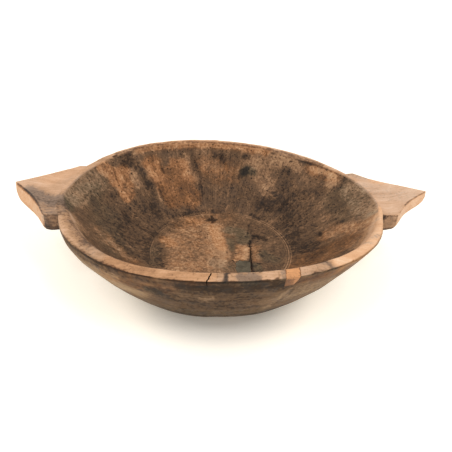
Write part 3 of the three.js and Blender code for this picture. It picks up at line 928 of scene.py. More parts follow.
outsideStains = {
    "crackFoot": ("dark", 0.9, 1.2, 1.4, [(-93.4, 0.99), (-93.6, 0.955)]),
    "darkUnderLipLeft": ("dark", 0.4, 3, 4, [(-138, 0.965), (-123, 0.965), (-112, 0.965), (-100, 0.96)]),
    "darkUnderLip": ("dark", 0.75, 9, 9, [(-100, 0.95), (-86, 0.94), (-71, 0.95)]),
    "darkMiddle": ("dark", 0.42, 12, 12, [(-108, 0.82), (-96, 0.78), (-78, 0.78)]),
    "paleSpot": ("pale", 0.85, 3.4, 4, [(-95, 0.82), (-92.5, 0.825)]),
    "greySpotLeft": ("grey", 0.7, 5, 4, [(-112, 0.86), (-109, 0.86)]),
    "darkSpotLeft": ("dark", 0.4, 5, 4, [(-112, 0.86), (-108, 0.85)]),
    "paleStreak": ("pale", 0.4, 2.2, 3.5, [(-67.5, 0.9), (-68.5, 0.76), (-70, 0.63)]),
    "paleStreakSecond": ("pale", 0.4, 2.0, 3.5, [(-65.5, 0.76), (-68, 0.7), (-71, 0.6)]),
    "darkStreak": ("dark", 0.5, 3, 3, [(-66.5, 0.86), (-66, 0.78), (-69, 0.66)]),
    "paleRight": ("pale", 0.5, 16, 12, [(-63, 0.8), (-48, 0.8), (-30, 0.8)]),
    "greyRight": ("grey", 0.3, 16, 12, [(-62, 0.75), (-48, 0.75)]),
    "brownRight": ("warm", 0.7, 5, 5, [(-66, 0.96), (-55, 0.955), (-40, 0.95)]),
    "darkRight": ("dark", 0.35, 3, 4, [(-66, 0.965), (-57, 0.96)]),
    "warmLeft": ("warm", 0.55, 8, 8, [(-128, 0.88), (-105, 0.91)]),
    "darkLeftMiddle": ("dark", 0.25, 8, 8, [(-118, 0.87), (-106, 0.86)]),
    "paleLeftUpper": ("pale", 0.65, 6, 4, [(-156, 0.91), (-142, 0.92), (-131, 0.91), (-123, 0.92)]),
    "paleLeft": ("pale", 0.9, 10, 8, [(-160, 0.86), (-142, 0.84), (-128, 0.8), (-118, 0.76)]),
    "greyLow": ("grey", 0.45, 16, 12, [(-118, 0.5), (-90, 0.52), (-70, 0.5)]),
    "darkBelly": ("dark", 0.3, 8, 9, [(-102, 0.64), (-88, 0.67), (-76, 0.64)]),
    "darkLow": ("dark", 0.55, 14, 12, [(-118, 0.38), (-90, 0.38), (-60, 0.4)]),
    "darkUnderLipBack": ("dark", 0.6, 9, 9, [(60, 0.93), (85, 0.92), (108, 0.93)]),
    "paleBack": ("pale", 0.4, 12, 10, [(52, 0.72), (80, 0.66), (120, 0.74)]),
    "warmBack": ("warm", 0.6, 9, 9, [(72, 0.82), (98, 0.8)]),
    "greyLowBack": ("grey", 0.4, 14, 12, [(60, 0.45), (90, 0.5), (125, 0.45)]),
    "darkUnderLeftHandle": ("dark", 0.4, 14, 12, [(160, 0.75), (180, 0.72), (195, 0.75)]),
    "darkUnderRightHandle": ("dark", 0.4, 14, 12, [(28, 0.75), (8, 0.72), (-8, 0.75)]),
}


# Stains on the handles and the lip beside them, with paths in millimetres in space
leftHandleStains = {
    "leftBand": (
        "grey", 0.9, 9, 7,
        [(-238, 3, 103), (-222, -5, 101), (-206, -12, 100), (-192, -10, 99), (-182, -16, 97)],
    ),
    "leftBandDark": (
        "dark", 0.3, 10, 9,
        [(-226, -4, 101), (-206, -12, 100), (-192, -10, 99), (-182, -16, 97)],
    ),
    "leftBandInside": ("grey", 0.4, 10, 9, [(-193, -3, 97), (-185, 2, 91)]),
    "leftFront": ("grey", 0.5, 12, 8, [(-216, -22, 100), (-202, -30, 99), (-192, -34, 98)]),
    "leftFrontDark": ("dark", 0.22, 12, 8, [(-216, -22, 100), (-202, -30, 99), (-192, -34, 98)]),
    "leftBack": ("pale", 0.35, 10, 10, [(-244, 24, 105), (-216, 42, 103), (-197, 60, 103)]),
    "leftBackWarm": ("warm", 0.35, 10, 8, [(-224, 34, 103), (-198, 60, 103)]),
}
rightHandleStains = {
    "rightTop": ("pale", 0.7, 22, 14, [(250, 24, 104), (226, 40, 98), (206, 62, 95)]),
    "rightTopGrey": ("grey", 0.3, 12, 12, [(238, 20, 100), (212, 34, 96), (196, 52, 94)]),
    "rightTopFront": ("pale", 0.4, 15, 12, [(238, 12, 100), (216, -6, 97), (206, 12, 96)]),
    "rightWarm": ("warm", 0.6, 6, 5, [(205, 70, 95), (216, 62, 97)]),
    "rightHeel": ("grey", 0.45, 6, 5, [(182, 88, 94), (198, 76, 94)]),
}


def markPath(surface, path):
    steps = np.array(path, float)
    if surface == "space":
        return steps * mm
    if surface == "floor":
        return np.column_stack([steps * mm, np.zeros(len(steps))])
    wall = {"inside": insidePoint, "lip": lipPoint, "outside": outsidePoint}[surface]
    fine = np.linspace(0, len(steps) - 1, 6 * (len(steps) - 1) + 1)  # follow the wall's curve
    order = np.arange(len(steps))
    angle = np.radians(np.interp(fine, order, steps[:, 0]))
    share = np.interp(fine, order, steps[:, 1])
    return wall(angle, share)


def distanceToPath(points, path):
    nearest = np.full(len(points), 1e9)
    for start, end in zip(path[:-1], path[1:]):
        run = end - start
        share = np.clip((points - start) @ run / max(run @ run, 1e-12), 0, 1)
        nearest = np.minimum(nearest, np.linalg.norm(points - start - share[:, None] * run, axis=1))
    return nearest


# how the edges of stains and painted shade stray: distance, size of the waves and a seed for each axis
edgeDrift = [(3.2 * mm, 14 * mm, (3.1, 9.4, 17.7)), (1.6 * mm, 4.5 * mm, (5.2, 11.9, 23.3))]


def wander(points):  # carries the edges of stains and painted shade off their straight paths
    shifts = []
    for distance, size, seeds in edgeDrift:
        shifts.append(np.stack([distance * noiseField(points, size, seed) for seed in seeds], axis=1))
    return sum(shifts)


def addMark(paint, edgeShift, points, path, tone, amount, half, soft):
    calm = min(1.0, 0.25 + half / 10)  # narrow marks wander less
    away = distanceToPath(points + calm * edgeShift, path)
    mask = amount * (1 - smoothStep((half - soft / 2) * mm, (half + soft) * mm, away))
    channel = tones[tone]
    paint[:, channel] = 1 - (1 - paint[:, channel]) * (1 - mask)


def basinRows():
    rows = []
    for surface, count in basin["rows"].items():
        shares = np.linspace(0, 1, count + 1)[:-1]
        if surface in ("inside", "floor"):
            shares = 1 - shares
        if surface == "outside":  # closer rows under the lip
            shares = 1 - (1 - shares) ** 1.35
        rows += [(surface, share) for share in shares]
    rows.append(("floor", 0.0))
    return rows


# hand-cut marks: size of one round the bowl or along x, then up the wall or along y
gougeCells = {"floor": (0.034, 0.020), "inside": (0.017, 0.042), "outside": (0.060, 0.020)}
gougeRun = {"inside": 0.12, "outside": 0.13}  # length of wall that they climb
gougeRadius = 0.15  # radius that they are spaced on
# unevenness: depth, size of the waves and seed
lipWaves = [(0.55 * mm, 20 * mm, 4.0), (0.28 * mm, 7 * mm, 8.0)]
handleWaves = [(0.5 * mm, 26 * mm, 3.0), (0.2 * mm, 7 * mm, 8.0)]


def unevenness(points, waves):
    return sum(depth * noiseField(points, size, seed) for depth, size, seed in waves)


def ridge(share, middle, reach):  # round the bowl, 1 along its middle
    return math.exp(-((share - middle) / reach) ** 2)


def basinRelief(points, surface, share, angle):  # hand-cut unevenness, outwards from the wood
    sway = noiseField(points, 48 * mm, 2.0) + 0.5 * noiseField(points, 20 * mm, 6.0)
    if surface == "underside":
        return 0 * sway
    if surface == "lip":
        return (1 - handleZone(angle)) * unevenness(points, lipWaves)
    across, along = gougeCells[surface]
    if surface == "floor":
        cells = np.stack([points[:, 0] / across, points[:, 1] / along, 0 * angle], axis=1)
        gouge = 0.5 * basin["gougeDepth"] * (cellField(cells, 1.0) - 0.3)
        return gouge + 0.5 * basin["sway"] * sway + basin["floorBead"] * ridge(share, 0.965, 0.022)
    turn = np.stack([np.cos(angle), np.sin(angle)], axis=1) * gougeRadius
    slant = np.full(len(angle), share * gougeRun[surface] / along)
    cells = np.column_stack([turn / across, slant])
    top = 1 - smoothStep(0.93, 1.0, share)
    if surface == "inside":
        fade = smoothStep(0.0, 0.1, share) * top
        groove = basin["footGroove"] * ridge(share, 0.035, 0.02)
        return fade * (basin["gougeDepth"] * (cellField(cells, 5.0) - 0.3) + basin["sway"] * sway) - groove
    fade = smoothStep(0.03, 0.15, share) * top
    return fade * (0.8 * basin["gougeDepth"] * (cellField(cells, 7.0) - 0.3) + basin["sway"] * sway)


def basinZones(surface, share, angle, points):  # inside, lip, floor
    zones = np.zeros((len(angle), 4))
    zones[:, 3] = 1.0
    ragged = noiseField(points, 9 * mm, 12.0) + 0.6 * noiseField(points, 3 * mm, 15.0)
    if surface in ("inside", "floor"):
        zones[:, 0] = 1.0
    soft = lipRunAt(angle, 4)
    thin = 5.5 * soft  # the softer the edge, the thinner the pale wood on the slope above it
    if surface == "lip":
        zones[:, 0] = 1.0 if share > 0.5 else 0.0
        slope = smoothStep(0.5, 1.0, share + 0.08 * ragged)
        zones[:, 1] = smoothStep(0.08, 0.22, share + 0.03 * ragged) * (1 - thin * slope)
    if surface == "inside":
        start = lipRunAt(angle, 3) + 0.5 * soft * ragged
        zones[:, 1] = (1 - thin) * smoothStep(start, start + soft, share)
    if surface == "floor":
        zones[:, 2] = smoothStep(1.05, 0.95, share)  # fades at the floor's edge
    return zones


def buildBasin():
    surfaces = {
        "underside": undersidePoint,
        "outside": outsidePoint,
        "lip": lipPoint,
        "inside": insidePoint,
        "floor": floorPoint,
    }
    rows = basinRows()
    steps = basin["turnSteps"]
    angle = np.linspace(-math.pi, math.pi, steps + 1)
    grid = np.array([surfaces[surface](angle, share) for surface, share in rows])

    # outward direction from the run of the grid, closed across its seam
    ring = grid[:, :-1]
    around = np.roll(ring, -1, axis=1) - np.roll(ring, 1, axis=1)
    upwards = np.gradient(ring, axis=0)
    normal = np.cross(around, upwards)
    length = np.linalg.norm(normal, axis=2, keepdims=True)
    normal = np.where(length > 1e-12, normal / np.maximum(length, 1e-12), (0, 0, 1))
    normal = np.concatenate([normal, normal[:, :1]], axis=1)

    zones = np.array([basinZones(s, share, angle, grid[j]) for j, (s, share) in enumerate(rows)])
    relief = np.array([basinRelief(grid[j], s, share, angle) for j, (s, share) in enumerate(rows)])
    flat = grid.reshape(-1, 3)
    paint = np.zeros((len(flat), 4))
    edgeShift = wander(flat)
    kinds = np.repeat([surface for surface, share in rows], steps + 1)
    reach = {
        "inside": (insideMarks, ("inside",)),
        "floor": (floorMarks, ("floor", "inside")),
        "lip": (lipMarks, ("lip", "inside", "outside")),
        "outside": (outsideStains, ("outside",)),
        "space": (leftHandleStains | rightHandleStains, ("lip", "inside")),
    }
    for surface, (stainsAndPaintedLight, takers) in reach.items():
        chosen = np.isin(kinds, takers)
        part = paint[chosen]
        axes = (1, 1, 0) if surface == "floor" else (1, 1, 1)  # marks on the floor are laid from above
        spots, drift = flat[chosen] * axes, edgeShift[chosen] * axes
        for tone, amount, half, soft, path in stainsAndPaintedLight.values():
            addMark(part, drift, spots, markPath(surface, path), tone, amount, half, soft)
        paint[chosen] = part
    carved = grid + relief[..., None] * normal

    bm = bmesh.new()
    bmesh.ops.create_grid(bm, x_segments=steps, y_segments=len(rows) - 1, size=1.0)
    zoneLayer = bm.verts.layers.float_color.new("zones")
    paintLayer = bm.verts.layers.float_color.new("stainsAndPaintedLight")
    paint = paint.reshape(len(rows), steps + 1, 4)
    for vert in bm.verts:
        column = round((vert.co.x + 1) / 2 * steps)
        row = round((vert.co.y + 1) / 2 * (len(rows) - 1))
        vert.co = carved[row, column]
        vert[zoneLayer] = zones[row, column]
        vert[paintLayer] = paint[row, column]
    bmesh.ops.remove_doubles(bm, verts=bm.verts, dist=1e-6)
    bmesh.ops.recalc_face_normals(bm, faces=bm.faces)
    return newObject("bowlBody", bm, bowlWood)


bowlWood = makeBowlWood()
handleWood = makeHandleWood()
patchWood = makePatchWood()
greyFiller = makeFiller()
crackWood = makeCrackWood()
print("finishes made:", len(bpy.data.materials))

bowlBody = buildBasin()
print("basin carved:", len(bowlBody.data.polygons), "faces")


# Cutters for the repairs and the cracks

patch = {
    "start": 0.065,
    "length": 0.015,
    "depth": 0.013,
    "draft": 0.005,
    "joint": 0.00006,
    "openJoint": 0.00025,
    "inner": 0.0664,
    "outer": 0.1992,
}
fill = {
    "outline": [
        (20.6, -31), (22.4, -26.5), (25.6, -24.3), (29, -25.6), (33, -24.9), (36.8, -26.6), (39.4, -27.2),
        (39.1, -34), (39.6, -41), (38.9, -48), (36.5, -53), (31, -54), (25, -52.6), (21.6, -48), (20.6, -42),
        (21.4, -36),
    ],
    "ragged": 0.0011,
    "depth": 0.004,
    "joint": 0.0003,
}
# paths in millimetres: x, y and the height of the crack's bottom
cracks = {
    "rim": {
        "path": [
            (-6.5, -149, 104), (-7.8, -153, 100.5), (-8.1, -156, 97), (-9.6, -159, 94.5),
            (-10.2, -162, 93), (-11.6, -164, 91.5), (-11.8, -169, 91.5),
        ],
        "top": 0.110,
        "width": 0.00273,
    },
    "floor": {
        "path": [
            (39.6, 30, 23.5), (41, 18, 20), (39.8, 8, 18), (40.9, -4, 17),
            (40.2, -16, 17), (41.2, -30, 18), (40.7, -44, 18), (41, -62, 22.5),
        ],
        "top": 0.032,
        "width": 0.00299,
    },
}
crackTip = 0.35  # share of the width at a crack's ends


def prism(name, outline, start, end, lift):  # closed block from a flat outline pushed along one way
    bm = bmesh.new()
    corners = [bm.verts.new(lift(x, y, start)) for x, y in outline]
    face = bm.faces.new(corners)
    grown = bmesh.ops.extrude_face_region(bm, geom=[face])["geom"]
    far = [part for part in grown if isinstance(part, bmesh.types.BMVert)]
    shift = Vector(lift(0, 0, end)) - Vector(lift(0, 0, start))
    bmesh.ops.translate(bm, verts=far, vec=shift)
    bmesh.ops.recalc_face_normals(bm, faces=bm.faces)
    return newObject(name, bm, crackWood)


def patchOutline(grow, growRight):
    end = patch["start"] + patch["length"]
    low = basin["rimHeight"] - patch["depth"] - grow
    high = basin["rimHeight"] + patch["depth"]
    return [
        (patch["start"] - grow, low),
        (end - patch["draft"] + growRight, low),
        (end + growRight, basin["rimHeight"]),
        (end + growRight, high),
        (patch["start"] - grow, high),
    ]


def fillOutline(grow):
    corners = np.array(fill["outline"]) * mm
    ahead = np.roll(corners, -1, axis=0)
    between = np.concatenate([mix(corners, ahead, share)[:, None] for share in (0.0, 0.33, 0.67)], axis=1)
    edge = between.reshape(-1, 2)
    away = edge - corners.mean(axis=0)
    away = away / np.linalg.norm(away, axis=1, keepdims=True)
    spots = np.column_stack([edge, np.zeros(len(edge))])
    ragged = fill["ragged"] * noiseField(spots, 2.6 * mm, 31.0)
    return [tuple(p) for p in edge + (grow + ragged)[:, None] * away]


def crackWedge(name, crack):  # knife-edged wedge, bridged from section to section
    bm = bmesh.new()
    sections = []
    path = [Vector(step) * mm for step in crack["path"]]
    last = len(path) - 1
    for i, keel in enumerate(path):
        ahead = path[min(i + 1, last)] - path[max(i - 1, 0)]
        side = Vector((-ahead.y, ahead.x, 0)).normalized()
        half = crack["width"] / 2 * (crackTip if i in (0, last) else 1.0)
        top = Vector((keel.x, keel.y, crack["top"]))
        corners = [bm.verts.new(p) for p in (top + side * half, top - side * half, keel)]
        sections.append([bm.edges.new((corners[k], corners[(k + 1) % 3])) for k in range(3)])
        if i in (0, last):
            bm.faces.new(corners)
    for near, far in zip(sections[:-1], sections[1:]):
        bmesh.ops.bridge_loops(bm, edges=near + far)
    bmesh.ops.recalc_face_normals(bm, faces=bm.faces)
    return newObject(name, bm, crackWood)


def frontward(x, z, y):
    return (x, -y, z)


def upward(x, y, z):
    return (x, y, z)


fillBottom = basin["floorThickness"] - fill["depth"]
fillTop = basin["floorThickness"] + 2 * basin["floorDish"]
pocketOutline = patchOutline(patch["joint"], patch["openJoint"])
patchPocket = prism("patchPocket", pocketOutline, patch["inner"], patch["outer"], frontward)
patchBlock = prism("patchBlock", patchOutline(0, 0), patch["inner"], patch["outer"], frontward)
fillPocket = prism("fillPocket", fillOutline(fill["joint"]), fillBottom - fill["joint"], fillTop, upward)
fillBlock = prism("fillBlock", fillOutline(0), fillBottom, fillTop, upward)
rimCrack = crackWedge("rimCrack", cracks["rim"])
floorCrack = crackWedge("floorCrack", cracks["floor"])


def letIn(name, block, material):
    piece = placeMesh(name, bowlBody.data.copy())
    cutWith(piece, block, "INTERSECT")
    applyModifiers(piece)
    piece.data.materials.clear()
    piece.data.materials.append(material)
    shadeSmooth(piece, 38)
    return piece


rimPatch = letIn("rimPatch", patchBlock, patchWood)
floorFill = letIn("floorFill", fillBlock, greyFiller)
for cutter in (patchPocket, fillPocket, rimCrack, floorCrack):
    cutWith(bowlBody, cutter, "DIFFERENCE")
applyModifiers(bowlBody)
mendPaint(bowlBody)
shadeSmooth(bowlBody, 42)
for cutter in (patchPocket, patchBlock, fillPocket, fillBlock, rimCrack, floorCrack):
    bpy.data.objects.remove(cutter)
print("repairs let in, body now", len(bowlBody.data.polygons), "faces")


# Handles

leftHandle = {
    "side": -1,
    "rimAngles": (195.6, 154.6),
    "front": (-0.2075, -0.046),
    "heel": (-0.193, 0.072),
    "tip": (-0.2615, 0.019),
    "tipRise": 0.005,
    "heelRise": 0.0,
    "rootThickness": 0.022,
    "tipThickness": 0.014,
    "endTop": (-5.6, 0.0, 0.0),
    "endLow": (1.8, -2.6, 0.6),
    "dish": 0.003,
    "edgeWear": 0.0014,
    "lowWear": (0.0022, 0.003),
    "cornerRadius": (0.005, 0.003),
    # whole faces tinted: the end face warm and pale, end grain with painted light; the near face dark and
    # grey, dirt with painted shade; the far face a little warm
    "faces": {
        "end": {"warm": 0.9, "pale": 0.75},
        "near": {"dark": 0.52, "grey": 0.35},
        "far": {"warm": 0.3},
    },
    "marks": {
        # endShadowLine: a painted shadow line along the top edge of the end face
        "endShadowLine": (
            "dark", 0.95, 1.6, 1.4,
            [(1, 0.92, 0.04), (1, 0.75, 0.04), (1, 0.5, 0.04), (1, 0.3, 0.04)],
        ),
        "endShadowLineFront": ("dark", 0.6, 1.0, 1.2, [(1, 0.3, 0.04), (1, 0.12, 0.04), (1, 0.02, 0.04)]),
        "endFoot": ("dark", 0.35, 1.5, 2.5, [(1, 0.95, 1), (1, 0.5, 1), (1, 0.1, 1)]),
        "endFront": ("grey", 0.5, 4, 4, [(1, 0.0, 0.2), (1, 0.0, 0.9)]),
        "nearLow": ("dark", 0.85, 4, 4, [(1, 0, 0.95), (0.5, 0, 1), (0, 0, 1)]),
        "nearTop": ("dark", 0.5, 1.0, 1.5, [(0.9, 0, 0.05), (0, 0, 0.05)]),
    },
}
rightHandle = {
    "side": 1,
    "rimAngles": (-7.5, 31.8),
    "front": (0.2142, -0.0266),
    "heel": (0.183, 0.089),
    "tip": (0.2635, 0.024),
    "tipRise": 0.011,
    "heelRise": 0.0016,
    "rootThickness": 0.022,
    "tipThickness": 0.010,
    "endTop": (-6.2, 0.0, 0.0),
    "endLow": (-0.9, -2.7, 1.2),
    "dish": 0.003,
    "edgeWear": 0.0012,
    "lowWear": (0.0055, 0.003),
    "cornerRadius": (0.0035, 0.002),
    # whole faces tinted: the end face warm and pale, end grain with painted light; the near face dark and
    # grey, dirt with painted shade; the far face a little warm
    "faces": {
        "end": {"warm": 0.55, "pale": 1.0},
        "near": {"dark": 0.2, "grey": 0.3},
        "far": {"warm": 0.3},
    },
    "marks": {
        # endShadowLine: a painted shadow line along the top edge of the end face
        "endShadowLine": (
            "dark", 0.75, 0.8, 1.0,
            [(1, 0.96, 0.04), (1, 0.75, 0.04), (1, 0.5, 0.04), (1, 0.36, 0.04)],
        ),
        "endShadowLineFront": ("dark", 0.3, 0.8, 1.0, [(1, 0.36, 0.04), (1, 0.1, 0.04)]),
        "nearLow": ("dark", 0.75, 1.8, 2.0, [(0.95, 0, 1), (0.5, 0, 1), (0, 0, 1)]),
        "nearTop": ("dark", 0.55, 0.8, 1.2, [(0.95, 0, 0.06), (0.5, 0, 0.05), (0, 0, 0.05)]),
        "nearCorner": ("dark", 0.25, 1.8, 1.2, [(1, 0.0, 0.3), (1, 0.0, 0.95)]),
        "nearSlit": ("dark", 0.95, 1.0, 1.0, [(0.2, 0, 0.1), (0.14, 0, 0.35), (0.1, 0, 0.7)]),
        "nearSlitSecond": ("dark", 0.6, 0.6, 0.8, [(0.36, 0, 0.1), (0.24, 0, 0.4)]),
    },
}
handleCuts = {"out": 30, "along": 60, "deep": 15}
handleSink = 0.0003  # how far the root reaches into the wall
handleSpan = 0.061  # from the rim's end to the tips
heelShare = 0.16  # the back edge turns at a heel close to the rim


def wallShareAt(angle, z):
    top = basin["rimHeight"] - outerWear(angle) - lipTilt(angle) + warpAt(angle)
    return np.clip(z / top, 0.05, 1.0) ** (1 / basin["wallPower"])


def handleRoot(handle, along, deep):  # where the handle meets the wall
    turn = math.radians(mix(*handle["rimAngles"], along))
    height = basin["rimHeight"] + warpAt(turn) - deep * handle["rootThickness"]
    spot = outsidePoint(turn, wallShareAt(turn, height))[:2]
    return spot * (1 - handleSink / np.linalg.norm(spot))


def handleEnd(handle, along, deep):  # end edge, drawn in along the top, in waves along the bottom
    front, tip = np.array(handle["front"]), np.array(handle["tip"])
    run = tip - front
    square = np.array([run[1], -run[0]]) / np.linalg.norm(run) * handle["side"]
    waves = [math.sin(k * math.pi * along) * mm for k in (1, 2, 3)]
    bow = mix(np.dot(waves, handle["endTop"]), np.dot(waves, handle["endLow"]), deep ** 0.85)
    return front + along * run + bow * square


def handleReach(handle, x):
    return np.clip((handle["side"] * x - basin["rimLength"] / 2) / handleSpan, 0, 1)


def handlePoint(handle, out, along, deep):  # shares from root to end, front to back, top to bottom
    tip, turn = np.array(handle["tip"]), np.array(handle["heel"])
    rootBack = handleRoot(handle, 1.0, deep)
    if out < heelShare:
        back = mix(rootBack, turn, out / heelShare)
    else:
        back = mix(turn, tip, (out - heelShare) / (1 - heelShare))
    spot = mix(handleRoot(handle, along, deep), handleEnd(handle, along, deep), out)
    x, y = spot + along * (back - mix(rootBack, tip, out))
    reach = handleReach(handle, x)
    angle = math.atan2(y / basin["rimWidth"], x / basin["rimLength"])
    dish = handle["dish"] * math.sin(math.pi * out) * 4 * along * (1 - along)
    heel = handle["heelRise"] * along * along * (1 - reach) * min(1.0, 6 * out)
    top = basin["rimHeight"] + warpAt(angle) + handle["tipRise"] * reach + heel - dish
    return Vector((x, y, top - deep * mix(handle["rootThickness"], handle["tipThickness"], reach)))


def easeEdge(first, second, radius):  # distances from two faces, moved onto a round of this radius
    x, y = max(0.0, radius - first), max(0.0, radius - second)
    size = math.hypot(x, y)
    if size > radius:
        return radius - x * radius / size, radius - y * radius / size
    return first, second


def wornShares(handle, out, along, deep):  # rounds off the edges and the upright corners
    root, end = handleRoot(handle, along, 0.5), handleEnd(handle, along, 0.5)
    length = np.linalg.norm(end - root)
    rootWidth = np.linalg.norm(handleRoot(handle, 1.0, 0.5) - handleRoot(handle, 0.0, 0.5))
    endWidth = np.linalg.norm(np.array(handle["tip"]) - np.array(handle["front"]))
    width = mix(rootWidth, endWidth, out)
    reach = handleReach(handle, mix(root, end, out)[0])
    thick = mix(handle["rootThickness"], handle["tipThickness"], reach)
    atFront, atTop = along < 0.5, deep < 0.5
    toEnd = (1 - out) * length
    toSide = min(along, 1 - along) * width
    toFace = min(deep, 1 - deep) * thick
    lowWear = min(mix(*handle["lowWear"], along), 0.46 * thick)
    toSide, toFace = easeEdge(toSide, toFace, handle["edgeWear"])
    toEnd, toFace = easeEdge(toEnd, toFace, handle["edgeWear"] if atTop else lowWear)
    corner = handle["cornerRadius"][0 if atFront else 1]
    x, y = max(0.0, 1 - toEnd / corner), max(0.0, 1 - toSide / corner)
    if x > 0 and y > 0:
        toEnd = corner * (1 - x * math.sqrt(1 - y * y / 2))
        toSide = corner * (1 - y * math.sqrt(1 - x * x / 2))
    along = toSide / width if atFront else 1 - toSide / width
    deep = toFace / thick if atTop else 1 - toFace / thick
    return 1 - toEnd / length, along, deep


def subdivideAlong(bm, axis, cuts):
    edges = [e for e in bm.edges if abs((e.verts[0].co - e.verts[1].co)[axis]) > 0.5]
    bmesh.ops.subdivide_edges(bm, edges=edges, cuts=cuts, use_grid_fill=True)


def handlePath(handle, path):  # from shares of the handle to places on its worn surface
    steps = np.array(path, float)
    fine = np.linspace(0, len(steps) - 1, 8 * (len(steps) - 1) + 1)
    shares = np.stack([np.interp(fine, np.arange(len(steps)), column) for column in steps.T], axis=1)
    return np.array([handlePoint(handle, *wornShares(handle, *share)) for share in shares])


def buildHandle(name, handle, stainsAndPaintedLight):
    bm = bmesh.new()
    bmesh.ops.create_cube(bm, size=1.0)
    for axis, cuts in enumerate(handleCuts.values()):
        subdivideAlong(bm, axis, cuts)
    reachLayer = bm.verts.layers.float.new("reach")
    faceLayers = {face: bm.verts.layers.float.new(face) for face in handle["faces"]}
    for vert in bm.verts:  # rows crowd towards the edges that get rounded
        x, y, z = vert.co
        out = math.sin((x + 0.5) * math.pi / 2)
        along = 0.5 + 0.5 * math.sin(y * math.pi)
        deep = 0.5 - 0.5 * math.sin(z * math.pi)
        lower = smoothStep(0.01, 0.1, deep)
        on = {"end": x > 0.499, "near": y < -0.499, "far": y > 0.499}
        vert[reachLayer] = out
        for face, layer in faceLayers.items():
            vert[layer] = lower * on[face]
        vert.co = handlePoint(handle, *wornShares(handle, out, along, deep))
    bmesh.ops.remove_doubles(bm, verts=bm.verts, dist=1e-6)
    bmesh.ops.recalc_face_normals(bm, faces=bm.faces)
    bm.normal_update()

    spots = np.array([vert.co for vert in bm.verts])
    normals = np.array([vert.normal for vert in bm.verts])
    reach = np.array([vert[reachLayer] for vert in bm.verts])
    paint = np.zeros((len(spots), 4))
    edgeShift = wander(spots)
    topside = np.ones(len(spots))
    for face, layer in faceLayers.items():
        topside -= np.array([vert[layer] for vert in bm.verts])
    for tone, amount, half, soft, path in stainsAndPaintedLight.values():
        addMark(paint, edgeShift, spots, markPath("space", path), tone, amount, half, soft)
    paint *= np.clip(topside, 0, 1)[:, None]
    # each face tinted whole: painted light on the end face and painted shade on the near face, over the
    # wood's own colour
    for face, amounts in handle["faces"].items():
        share = np.array([vert[faceLayers[face]] for vert in bm.verts])
        for tone, amount in amounts.items():
            paint[:, tones[tone]] += amount * share
    paint = np.clip(paint, 0, 1)
    for tone, amount, half, soft, path in handle["marks"].values():
        addMark(paint, 0.5 * edgeShift, spots, handlePath(handle, path), tone, amount, half, soft)
    relief = unevenness(spots, handleWaves) * smoothStep(0.05, 0.4, reach)
    spots = spots + relief[:, None] * normals
    paintLayer = bm.verts.layers.float_color.new("stainsAndPaintedLight")
    for vert, spot, colour in zip(bm.verts, spots, paint):
        vert.co = spot
        vert[paintLayer] = colour
    piece = newObject(name, bm, handleWood)
    shadeSmooth(piece, 50)
    return piece


leftHandlePiece = buildHandle("leftHandle", leftHandle, leftHandleStains)
rightHandlePiece = buildHandle("rightHandle", rightHandle, rightHandleStains)
print("handles shaped:", len(leftHandlePiece.data.polygons), "faces each")


# Stage, light and camera

stage = {
    "floorSize": 14.0,
    "floorColour": "f3efe9",
    "floorDrop": 0.0002,
    # the floor's glow holds a painted shadow: dimmer close to the bowl, brighter beside it to the left and
    # right, tinted warm near it
    "paintedShadowGlow": (0.17, 0.55),
    "paintedShadowReach": (0.115, 0.2),
    "glowFar": (0.3, 1.0),
    "paintedShadowTint": "fff3dd",
    "skyLevel": 0.64,
    "lampSize": 0.9,
    "lampAim": (0.0, 0.0, 0.05),
    "lamps": [((-0.9, -0.65, 1.9), 10.0), ((0.9, -0.65, 1.9), 14.0)],
}
view = {
    "place": (0.0, -0.53023, 0.40030),
    "target": (0.00703, -0.00327, 0.0610),
    "roll": 1.95,
    "lens": 39.03,
    "sensor": 36.0,
}


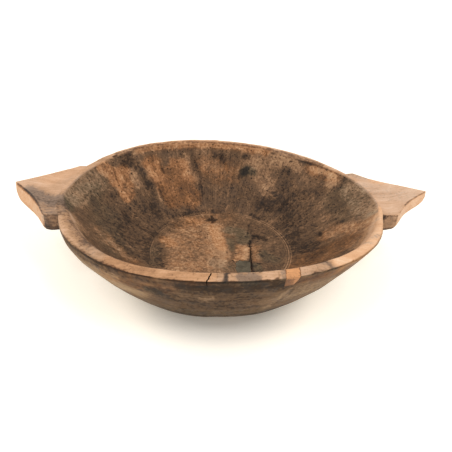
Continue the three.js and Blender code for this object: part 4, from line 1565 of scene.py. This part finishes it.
def buildStage():
    bm = bmesh.new()
    bmesh.ops.create_grid(bm, x_segments=1, y_segments=1, size=stage["floorSize"] / 2)
    bmesh.ops.translate(bm, verts=bm.verts, vec=(0, 0, -stage["floorDrop"]))
    material, tree, shader, place = newMaterial("paleFloor")
    shader.inputs["Base Color"].default_value = tint(stage["floorColour"])
    shader.inputs["Roughness"].default_value = 0.9
    shader.inputs["Specular IOR Level"].default_value = 0.0
    seen = directlySeen(tree)
    # dimmer glow close to the bowl and stronger to its left and right: a painted shadow round its foot, warm
    # within reach of the bowl
    away = addNode(tree, "VectorMath", {0: place}, operation="LENGTH").outputs["Value"]
    narrowed = stretch(tree, place, (1.5, 1, 1))
    beside = addNode(tree, "VectorMath", {0: narrowed}, operation="LENGTH").outputs["Value"]
    near = levels(tree, beside, *stage["paintedShadowReach"], *stage["paintedShadowGlow"])
    far = levels(tree, away, *stage["glowFar"])
    glowOverPaintedShadow = addNode(tree, "Mix", {0: far, 2: near, 3: 1.0}).outputs[0]
    glow = calc(tree, "MULTIPLY", seen, glowOverPaintedShadow)
    glowColour = blend(tree, far, tint(stage["paintedShadowTint"]), (1, 1, 1, 1))
    tree.links.new(glowColour, shader.inputs["Emission Color"])
    tree.links.new(glow, shader.inputs["Emission Strength"])
    floor = newObject("paleFloor", bm, material)


def buildLight():
    world = bpy.data.worlds.new("softSky")
    world.use_nodes = True
    tree = world.node_tree
    sky = tree.nodes["Background"]
    sky.inputs["Color"].default_value = (1, 1, 1, 1)
    seen = directlySeen(tree)
    strength = addNode(tree, "Mix", {0: seen, 2: stage["skyLevel"], 3: 1.0}).outputs[0]
    tree.links.new(strength, sky.inputs["Strength"])
    bpy.context.scene.world = world
    for place, power in stage["lamps"]:
        lamp = bpy.data.lights.new("softbox", "AREA")
        lamp.shape = "DISK"
        lamp.size = stage["lampSize"]
        lamp.energy = power
        softbox = bpy.data.objects.new("softbox", lamp)
        softbox.location = place
        aim = Vector(stage["lampAim"]) - softbox.location
        softbox.rotation_euler = aim.to_track_quat("-Z", "Y").to_euler()
        bpy.context.scene.collection.objects.link(softbox)


def buildCamera():
    lens = bpy.data.cameras.new("camera")
    lens.lens = view["lens"]
    lens.sensor_width = view["sensor"]
    lens.sensor_fit = "HORIZONTAL"
    camera = bpy.data.objects.new("camera", lens)
    place = Vector(view["place"])
    forward = (Vector(view["target"]) - place).normalized()
    level = forward.cross(Vector((0, 0, 1))).normalized()
    upright = level.cross(forward)
    roll = math.radians(view["roll"])
    right = math.cos(roll) * level + math.sin(roll) * upright
    up = math.cos(roll) * upright - math.sin(roll) * level
    turn = Matrix((right, up, -forward)).transposed()
    camera.matrix_world = Matrix.Translation(place) @ turn.to_4x4()
    bpy.context.scene.collection.objects.link(camera)
    bpy.context.scene.camera = camera


buildStage()
buildLight()
buildCamera()
bpy.context.scene.view_settings.view_transform = "Standard"

# Each piece stands for its node
fits = [
    (bowlBody, "bowl_body", "bowl_wood"),
    (leftHandlePiece, "left_handle", "handle_wood"),
    (rightHandlePiece, "right_handle", "handle_wood"),
    (rimPatch, "rim_patch", "patch_wood"),
    (floorFill, "floor_fill", "filler"),
]
for piece, node, slot in fits:
    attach(piece, "root")
    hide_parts(node)

bpy.context.view_layer.update()
